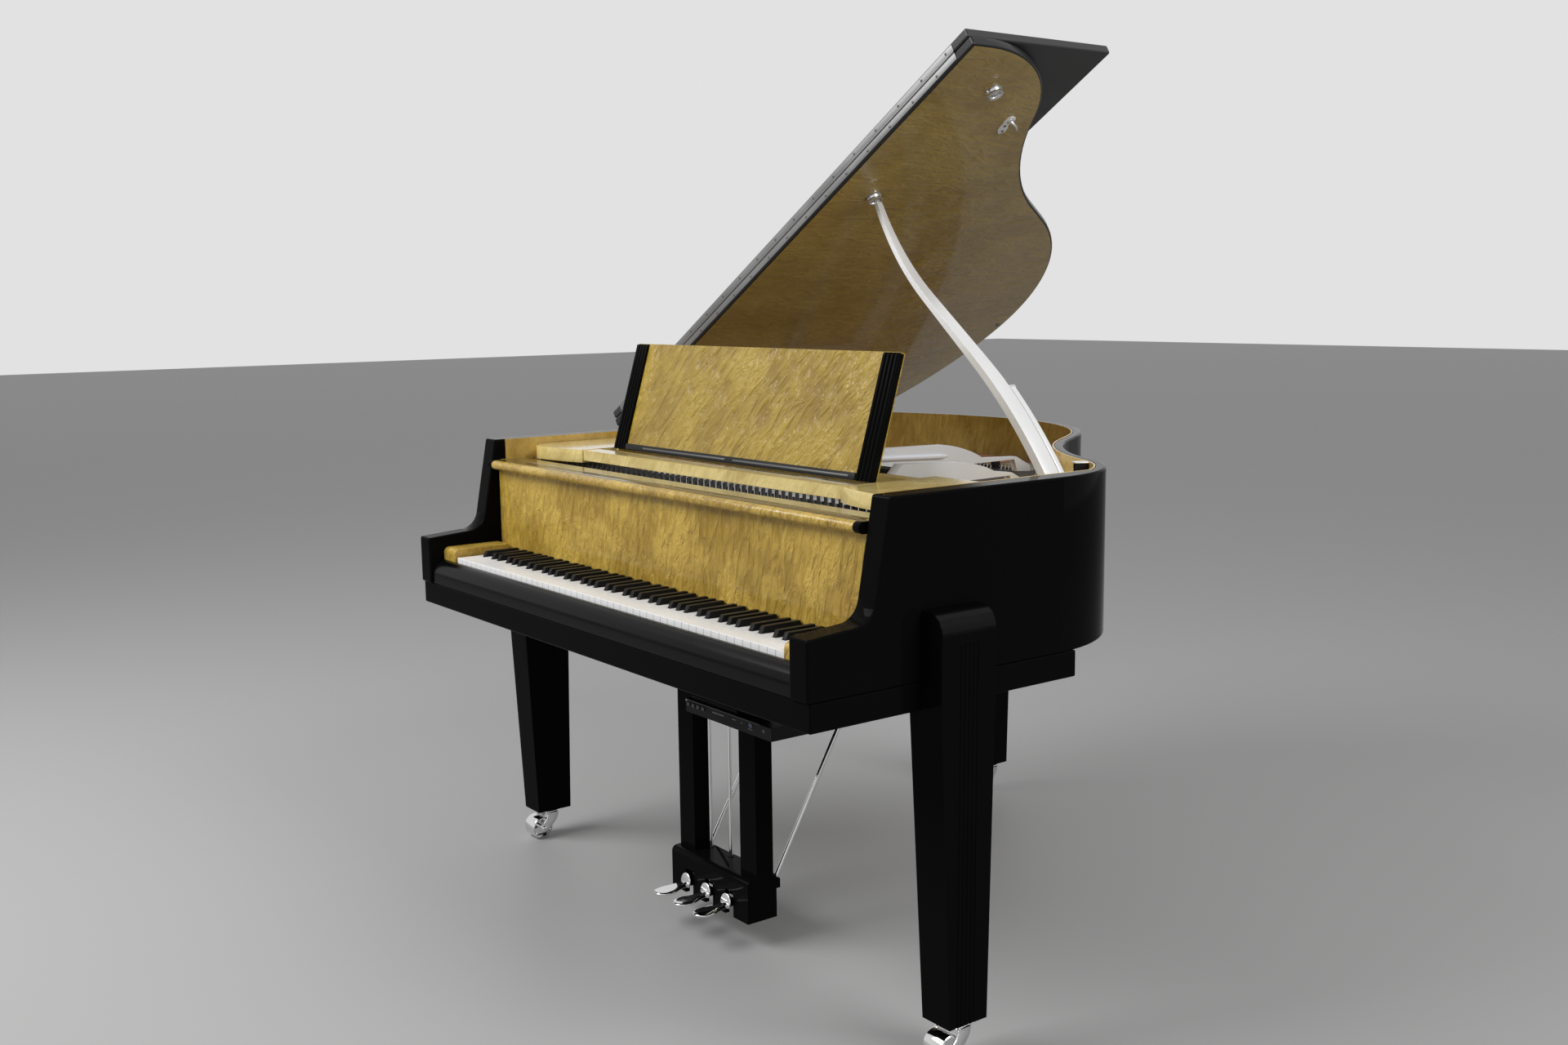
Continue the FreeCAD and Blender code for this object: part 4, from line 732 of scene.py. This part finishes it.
def lid_cups():
    """Turned cups with a foot, a waist and a rim, and the lock's bent hook with its pivot."""
    under = LID_HINGE[1]
    down = (0, 0, -1)
    cup = [(15, -0.5), (17, 0.5), (17, 2.5), (14.5, 4), (13.6, 7), (14.5, 9), (16, 10), (16, 12)]
    cup += [(14.5, 12.8), (11, 12.6), (9.4, 11), (9, 6.5)]
    parts = [turned(cup, (x, y, under), down, 36) for x, y in CUPS]
    hook = [(540, 754, under), (541, 757, under - 8), (539, 764, under - 13), (532, 773, under - 14)]
    hook.append((524, 781, under - 11))
    parts.append(carried(flat_oval(3, 3, 12, 1), hook, (0, 0.3, 1), (1.2, 1.1, 1, 1, 0.7)))
    pivot = [(7, 2.5), (7, 4), (5, 5.5), (1.5, 6)]
    parts.append(turned(pivot, (*LOCK_PIVOT, under), down, 20))
    points, faces = joined(parts)
    piece("lid_cups", on_lid(points), faces, "lid", "chrome", 40)


def lid_lock():
    """Plate under the lid that swells twice along its bend, with a round end and two dark discs that are
    painted shade in its screw holes.
    """
    under, thick = LID_HINGE[1], 3
    outline = band([(502, 764), (514, 757), (528, 753), (541, 754)], (7, 11, 8, 12))
    plate, faces = slab(outline, edge_rings(under - thick, under + 0.3, 1))
    piece("lock_plate", on_lid(plate), faces, "lid", "satin_silver", 40)
    # Dark discs for the screw holes: painted shade inside them.
    hole = [(3, -0.5), (3, 0.15), (2.4, 0.3)]
    points, faces = joined([turned(hole, (x, y, under - thick), (0, 0, -1), 16) for x, y in LOCK_HOLES])
    piece("lock_hole_shade", on_lid(points), faces, "lid", "matte_black", 40)


def leaf_screws(name, body, shift, depth, height):
    """Low domed screw heads in a row along a leaf of the flap's hinge, looking to the front."""
    head = [(2.9, -0.3), (2.9, 0.3), (2.0, 0.8), (0.5, 1.0)]
    places = np.arange(-FLAP_SPAN + shift, FLAP_SPAN - 8, SCREW_PITCH)
    points, faces = joined([turned(head, (x, depth, height), (0, -1, 0), 12) for x in places])
    piece(name, on_lid(points), faces, body, "hinge_grey")


def lid_leaves():
    """Lower leaf and pin of the flap's hinge, the bass side's three hinges with knuckles, and bumpers."""
    under = LID_HINGE[1]
    depth, axis = FLAP_AXIS
    leaf = soft_box((-FLAP_SPAN, LID_FRONT - 1.4, under + 5), (FLAP_SPAN, LID_FRONT, axis - 2), 0.4, 0.4)
    pin_line = [(1.2, -FLAP_SPAN), (1.6, 0.5 - FLAP_SPAN), (1.6, FLAP_SPAN - 0.5), (1.2, FLAP_SPAN)]
    pin = turned(pin_line, (0, depth, axis), (1, 0, 0), 16)
    web = soft_box((-FLAP_SPAN, depth, axis - 2.3), (FLAP_SPAN, LID_FRONT - 0.7, axis - 1.2), 0.3, 0.3)
    parts = [leaf, pin, web]
    x, length = LID_HINGE[0], HINGE_HALF - 1
    knuckle = [(2.8, 0), (3.4, 0.6), (3.4, length - 0.6), (2.8, length)]
    for middle in LID_HINGES:
        first, last = middle + 1, middle + HINGE_HALF
        parts.append(soft_box((x + 3, first, under + 2), (x + 5, last, under + 18), 0.6, 0.6))
        parts.append(soft_box((x, first, under + 1), (x + 4, last, under + 3.8), 0.6, 0.6))
        parts.append(turned(knuckle, (x, first, under), (0, 1, 0), 20))
    bumper = [(7, -0.3), (7, 1.4), (5.6, 2.3), (2, 2.6)]
    parts += [turned(bumper, (*place, under), (0, 0, -1), 20) for place in BUMPERS]
    points, faces = joined(parts)
    leaves = piece("lid_leaves", on_lid(points), faces, "lid", "bright_steel", 40)
    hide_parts("lid_fittings")


def flap_leaf():
    """Upper leaf of the flap's hinge."""
    axis = FLAP_AXIS[1]
    low, high = (-FLAP_SPAN, LID_FRONT - 0.4, axis + 2), (FLAP_SPAN, LID_FRONT + 1, axis + 16)
    points, faces = soft_box(low, high, 0.4, 0.4)
    leaf = piece("flap_leaf", on_lid(points), faces, "fly", "bright_steel", 40)
    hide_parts("fly_hinge")


lid_lock()
lid_cups()
lid_leaves()
flap_leaf()
leaf_screws("lid_leaf_screws", "lid", 30, LID_FRONT - 1.4, LID_HINGE[1] + 11)
leaf_screws("flap_leaf_screws", "fly", 68, LID_FRONT - 0.4, FLAP_AXIS[1] + 10)


# Props

PROP_FOOT = (639.8, 950)
PROP_HEADING = 122.3
SHORT_LENGTH = 235
SHORT_TURN = 12.8
SHORT_DEPTHS = (624.6, 638)
LINING_INSET = 23
BRACKET_TURN = 59


def short_prop():
    """Soft-edged stick along an arc that turns evenly from the foot, and the round catch at its tip."""
    share = np.linspace(0.115, 1, 16)
    step = share * SHORT_LENGTH
    heading = np.radians(PROP_HEADING + SHORT_TURN * share / 2)
    path = np.column_stack([
        PROP_FOOT[0] + step * np.cos(heading),
        np.full(len(share), sum(SHORT_DEPTHS) / 2),
        PROP_FOOT[1] + step * np.sin(heading),
    ])
    deep = (SHORT_DEPTHS[1] - SHORT_DEPTHS[0]) / 2
    sections = np.stack([flat_oval(deep, 8 - 2 * part, 28, 0.3) for part in share])
    stick = piece("short_stick", *carried(sections, path, (0, 1, 0)), "second_prop", "satin_silver", 40)
    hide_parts("short_prop")
    catch = [(5.5, -8.6), (6.5, -7.6), (6.5, 7.6), (5.5, 8.6)]
    piece("short_catch", *turned(catch, path[-1], (0, 1, 0), 24), "second_prop", "chrome", 30)


def wall_bracket():
    """Small dark bracket inside the cheek's bend: two legs under a bright top, square to the wall."""
    turn = math.radians(BRACKET_TURN)
    wall = CHEEK[1] - LINING_INSET
    outwards = np.array([math.cos(turn), math.sin(turn), 0])
    ways = np.array([(math.sin(turn), -math.cos(turn), 0), -outwards, (0, 0, 1)])
    foot = np.array([*CHEEK[0], 0]) + wall * outwards

    def against_wall(shape):
        """Shape drawn as (along, inwards, up) put against the wall."""
        points, faces = shape
        return foot + points @ ways, faces

    legs = [soft_box((-11, -1, 962), (11, 3, 988), 1, 1)]
    legs += [soft_box((low, 2, 960), (low + 7, 25, 988), 1.5, 1) for low in (-11, 4)]
    piece("wall_bracket", *joined([against_wall(leg) for leg in legs]), "case", "matte_black")
    top = soft_box((-13, -1, 987.5), (13, 28, 990), 1.2, 0.8)
    piece("bracket_top", *against_wall(top), "case", "satin_silver")


short_prop()
wall_bracket()


# Music desk and fallboard

DESK_HINGE = (335, 970)
DESK_LEAN = math.radians(16.7)
DESK_HALF = 450
DESK_THICK = 12
STRIP_WIDTH = 45


def on_desk(points):
    """Points of the upright desk leant back about its hinge line."""
    points = np.asarray(points, float).reshape(-1, 3)
    out, up = points[:, 1] - DESK_HINGE[0], points[:, 2] - DESK_HINGE[1]
    depth = DESK_HINGE[0] + out * math.cos(DESK_LEAN) + up * math.sin(DESK_LEAN)
    height = DESK_HINGE[1] - out * math.sin(DESK_LEAN) + up * math.cos(DESK_LEAN)
    return np.column_stack([points[:, 0], depth, height])


def desk_foot():
    """Black bar along the foot of the desk's face with two grey strips let into it that are painted
    reflections.
    """
    face = DESK_HINGE[0] - DESK_THICK
    end = DESK_HALF - STRIP_WIDTH - 1
    bar, faces = soft_box((-end, face - 5, 970.5), (end, face + 1, 984), 0.8, 1.6)
    piece("desk_foot_bar", on_desk(bar), faces, "desk", "matte_black")
    # Grey strips on the bar's face: painted reflections.
    leaves = []
    for low, high in ((-330, -14), (14, 385)):
        leaves.append(soft_box((low, face - 5.6, 975), (high, face - 4, 979), 0.5, 0.6))
    points, faces = joined(leaves)
    piece("desk_foot_glints", on_desk(points), faces, "desk", "hinge_grey")


def fluted_ends():
    """Black strips on both ends of the desk's face: four half-round ridges, rounded over at the top."""
    face = DESK_HINGE[0] - DESK_THICK
    height, ridges, proud, top_round = 243, 4, 6, 8
    pitch = STRIP_WIDTH / ridges
    along = np.linspace(0, STRIP_WIDTH, 8 * ridges + 1)
    bulge = np.sqrt(np.clip(1 - ((along % pitch) / pitch * 2 - 1) ** 2, 0, 1))
    wave = proud * (0.25 + 0.75 * bulge)
    turn = np.linspace(0.2, 1.57, 7)
    straight = height - top_round
    rise = np.concatenate([[0], np.linspace(0, straight, 6), straight + top_round * np.sin(turn)])
    fall = np.concatenate([[0], np.ones(6), np.cos(turn)])
    parts = []
    for start in (-DESK_HALF, DESK_HALF - STRIP_WIDTH):
        x, z = np.meshgrid(start + along, DESK_HINGE[1] + rise)
        y = face - fall[:, None] * wave
        front = np.stack([x, y, z], axis=-1)
        back = front.copy()
        back[:, :, 1] = face + 0.8
        rows, columns = x.shape
        outer = grid_faces(rows, columns)
        count = rows * columns
        edge = np.concatenate([np.arange(columns), columns * np.arange(1, rows) + columns - 1,
                               count - 2 - np.arange(columns - 1), columns * np.arange(rows - 2, 0, -1)])
        after = np.roll(edge, -1)
        rim = np.stack([edge, after, after + count, edge + count], axis=-1)
        faces = np.concatenate([outer, outer[:, ::-1] + count, rim])
        parts.append((np.concatenate([front.reshape(-1, 3), back.reshape(-1, 3)]), faces.tolist()))
    for side in (1, -1):
        inner, outer = sorted((side * (DESK_HALF - 0.3), side * (DESK_HALF + 2)))
        low, high = (inner, face - 4.5, DESK_HINGE[1]), (outer, face + 8, DESK_HINGE[1] + height - 1.5)
        parts.append(soft_box(low, high, 1, 1))
    points, faces = joined(parts)
    strips = piece("fluted_ends", on_desk(points), faces, "desk", "black_lacquer", 60)
    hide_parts("desk_fluting")


def fall_details():
    """Black caps on both ends of the fallboard's nosing, the fine seam behind it, and a thin dark sheet on
    its top that is painted shade under the desk tray.
    """
    middle, radius, back = (122, 935), 10.5, 139
    nose = arc(middle, radius, 270, 90, 12)
    profile = np.concatenate([nose, [(back, middle[1] + radius), (back, middle[1] - radius)]])
    parts = []
    for side in (1, -1):
        cap, faces = slab(profile, [(4, 648), (1.2, 649.5), (0, 652), (0, 668.2)])
        cap = across(cap)
        cap[:, 0] *= side
        parts.append((cap, faces))
    seam = soft_box((-648, 126, 944.6), (648, 127.3, 945.25), 0.2, 0.2)
    piece("nosing_caps", *joined(parts + [seam]), "fall", "black_lacquer", 40)
    # Thin dark veneer sheet over the fallboard's top: painted shade under the desk tray.
    top = soft_box((-648, 127.5, 944.4), (648, 155.6, 945.3), 0.3, 0.3)
    strip = piece("fall_top_shade", *top, "fall", "dark_veneer", 40)


desk_foot()
fluted_ends()
fall_details()


# Inside the case

STRING_FRONT = 436
STRING_LEVEL = 929
STRING_BEND = 566
BASS_STRINGS = 26
HITCH_INSET = 98
HITCH_PITCH = 10
PIN_LEAN = 0.3
TENOR_BAR = ((-560, 1076), (60, 1165))
TENOR_ENDS = ((35, 1150), (-470, 1080))
FRAME_TOP = 886


def along_rim(inset, first, last, pitch):
    """Points and headings at an even pitch on the rim's line, between two depths on the bent side."""
    line = rim_line(inset, first, 60)
    length = np.concatenate([[0], np.cumsum(np.linalg.norm(np.diff(line, axis=0), axis=1))])
    place = np.arange(0, length[-1], pitch)
    points = np.column_stack([np.interp(place, length, line[:, way]) for way in range(2)])
    heading = np.gradient(points, axis=0)
    heading /= np.linalg.norm(heading, axis=1)[:, None]
    until = int(np.argmax(points[:, 1] > last))
    return points[:until], heading[:until]


def hitch_pins():
    """Short pins leaning outwards, beside the bent side and on the tenor's hitch bar."""
    places, headings = along_rim(HITCH_INSET, 640, 1360, HITCH_PITCH)
    bar = np.linspace(*TENOR_BAR, 60)
    bar_heading = np.broadcast_to((-0.99, -0.14), bar.shape)
    pin = [(1.7, 0), (1.7, 20), (1.2, 21)]
    parts = []
    for place, way in zip(np.concatenate([places, bar]), np.concatenate([headings, bar_heading])):
        lean = (PIN_LEAN * way[1], -PIN_LEAN * way[0], 1)
        parts.append(turned(pin, (*place, FRAME_TOP - 1), lean, 8))
    piece("hitch_pins", *joined(parts), "case", "bright_steel")


def wires(starts, ends, radius):
    """Thin six-sided wires between matching start and end points."""
    return [turned([(radius, 0), (radius, math.dist(start, end))], start, np.subtract(end, start), 6)
            for start, end in zip(starts, ends)]


def strings():
    """Plain strings, level over the hammers, then down to their pins, and wound bass strings across them."""
    places = along_rim(HITCH_INSET + 3, 640, 1180, 14)[0]
    tenor = np.linspace(*TENOR_ENDS, 22)
    ends = np.concatenate([places, tenor])
    starts = np.linspace((600, STRING_FRONT), (-230, STRING_FRONT), len(ends))
    part = (STRING_BEND - starts[:, 1:]) / (ends[:, 1:] - starts[:, 1:])
    bends = starts + part * (ends - starts)
    level = np.full((len(ends), 1), STRING_LEVEL)
    low = np.full((len(ends), 1), FRAME_TOP + 12)
    plain = wires(np.hstack([starts, level]), np.hstack([bends, level]), 0.7)
    plain += wires(np.hstack([bends, level]), np.hstack([ends, low]), 0.7)
    steel = piece("plain_strings", *joined(plain), "case", "hinge_grey")
    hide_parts("strings")
    high, end = STRING_LEVEL + 10, FRAME_TOP + 14
    bass_starts = np.linspace((-600, STRING_FRONT, high), (-262, STRING_FRONT, high), BASS_STRINGS)
    bass_ends = np.linspace((-440, 1340, end), (-70, 1305, end), BASS_STRINGS)
    piece("wound_strings", *joined(wires(bass_starts, bass_ends, 1.4)), "case", "wound_copper")


def bridges():
    """Long bridge that follows the bent side and the straight bass bridge, both rounded along the top."""
    bottom, width, rise, edge, steps = 867, 28, 28, 5, 4
    top = edge_rings(0, rise, edge, steps)[steps:]
    section = [(-width / 2, 0), (width / 2, 0)]
    section += [(width / 2 - inset, level) for inset, level in top]
    section += [(inset - width / 2, level) for inset, level in top[::-1]]
    parts = []
    bend = along_rim(184, 600, 1240, 20)[0]
    for line in (bend, np.linspace((-95, 1205), (-425, 1240), 8)):
        path = np.column_stack([line, np.full(len(line), bottom)])
        heading = np.gradient(path, axis=0)
        heading /= np.linalg.norm(heading, axis=1)[:, None]
        parts.append(carried(section, path, np.cross(heading, (0, 0, 1))))
    wood = piece("string_bridges", *joined(parts), "case", "hardwood", 40)
    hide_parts("bridges")


def strut_ledge():
    """Rounded ledge along the treble side of the longest strut, fading out at both ends."""
    depth = np.linspace(602, 878, 20)
    side = 57.5 - (depth - 432) * 0.0125
    height = np.interp(depth, (602, 690, 866), (963.6, 961, 953.5))
    fade = np.clip(np.minimum(depth - 596, 884 - depth) / 24, 0.15, 1)
    path = np.column_stack([side, depth, height])
    ledge = carried(flat_oval(5, 5.5, 16, 0.8), path, (1, 0, 0), fade)
    piece("strut_ledge", *ledge, "case", "silver_plate", 50)


def plate_bolt():
    """Dark bolt that stands on the plate: a shank and a wider head with a domed top."""
    outline = [(8, 0), (8, 20), (11, 22), (11, 31), (8, 34), (3, 35)]
    bolt = turned(outline, (-45, 1122, FRAME_TOP - 1), (0, 0, 1), 20)
    piece("plate_bolt", *bolt, "case", "matte_black")


hitch_pins()
strings()
bridges()
strut_ledge()
plate_bolt()


# Stage, light and camera

def plane(name, corners, material):
    """Flat stage piece with four corners."""
    mesh = bpy.data.meshes.new(name)
    mesh.from_pydata(corners, [], [(0, 1, 2, 3)])
    mesh.materials.append(material)
    obj = bpy.data.objects.new(name, mesh)
    bpy.context.scene.collection.objects.link(obj)


def area_light(name, place, target, size, power):
    """Rectangular lamp at a place, turned to a target."""
    lamp = bpy.data.lights.new(name, "AREA")
    lamp.shape = "RECTANGLE"
    lamp.size, lamp.size_y = size
    lamp.energy = power
    obj = bpy.data.objects.new(name, lamp)
    obj.location = place
    obj.rotation_euler = (Vector(target) - Vector(place)).to_track_quat("-Z", "Y").to_euler()
    bpy.context.scene.collection.objects.link(obj)


FLOOR_REACH = 30
blank("pale_floor", Base_Color=grey(0.42), Roughness=0.5, Specular_IOR_Level=0.25)
floor_corners = [(-FLOOR_REACH, -FLOOR_REACH, 0), (FLOOR_REACH, -FLOOR_REACH, 0)]
floor_corners += [(FLOOR_REACH, FLOOR_REACH, 0), (-FLOOR_REACH, FLOOR_REACH, 0)]
plane("floor", floor_corners, FINISHES["pale_floor"])

world = bpy.data.worlds.new("room")
bpy.context.scene.world = world
world.use_nodes = True


def room_light():
    """Dim even room light that the camera and the polish see as a pale wall."""
    tree = world.node_tree
    dim = tree.nodes["Background"]
    dim.inputs["Color"].default_value = grey(0.72)
    dim.inputs["Strength"].default_value = 0.42
    wall = add(tree, "ShaderNodeBackground", {"Color": grey(0.76), "Strength": 1.0})
    path = add(tree, "ShaderNodeLightPath")
    seen = worked(tree, path.outputs["Is Camera Ray"], path.outputs["Is Glossy Ray"], "MAXIMUM")
    inputs = {0: seen, 1: dim.outputs[0], 2: wall.outputs[0]}
    share = add(tree, "ShaderNodeMixShader", inputs)
    tree.links.new(share.outputs[0], tree.nodes["World Output"].inputs["Surface"])


room_light()
area_light("front_lamp", (-1.6, -3.4, 3.6), (0, 0, 0.8), (3.2, 2.0), 172)
area_light("side_lamp", (3.4, 0.6, 3.4), (0, 0, 0.8), (2.4, 2.0), 90)
bpy.context.scene.view_settings.view_transform = "Standard"


def photo_camera():
    """Camera at the photo's place: turned left of the depth axis by yaw, down by pitch, and rolled."""
    yaw, pitch, roll = 0.9283, 0.1438, -0.0125
    place = Vector((2.6178, -1.499 + DEPTH_SHIFT, 1.3124))
    ahead = Vector((-math.sin(yaw) * math.cos(pitch), math.cos(yaw) * math.cos(pitch), -math.sin(pitch)))
    level = Vector((math.cos(yaw), math.sin(yaw), 0))
    upright = level.cross(ahead)
    right = level * math.cos(roll) + upright * math.sin(roll)
    up = upright * math.cos(roll) - level * math.sin(roll)
    lens = bpy.data.cameras.new("photo_camera")
    lens.sensor_width = 36
    lens.lens = 36.07
    lens.clip_end = 200
    camera = bpy.data.objects.new("photo_camera", lens)
    camera.matrix_world = Matrix.Translation(place) @ Matrix((right, up, -ahead)).transposed().to_4x4()
    bpy.context.scene.collection.objects.link(camera)
    bpy.context.scene.camera = camera


photo_camera()
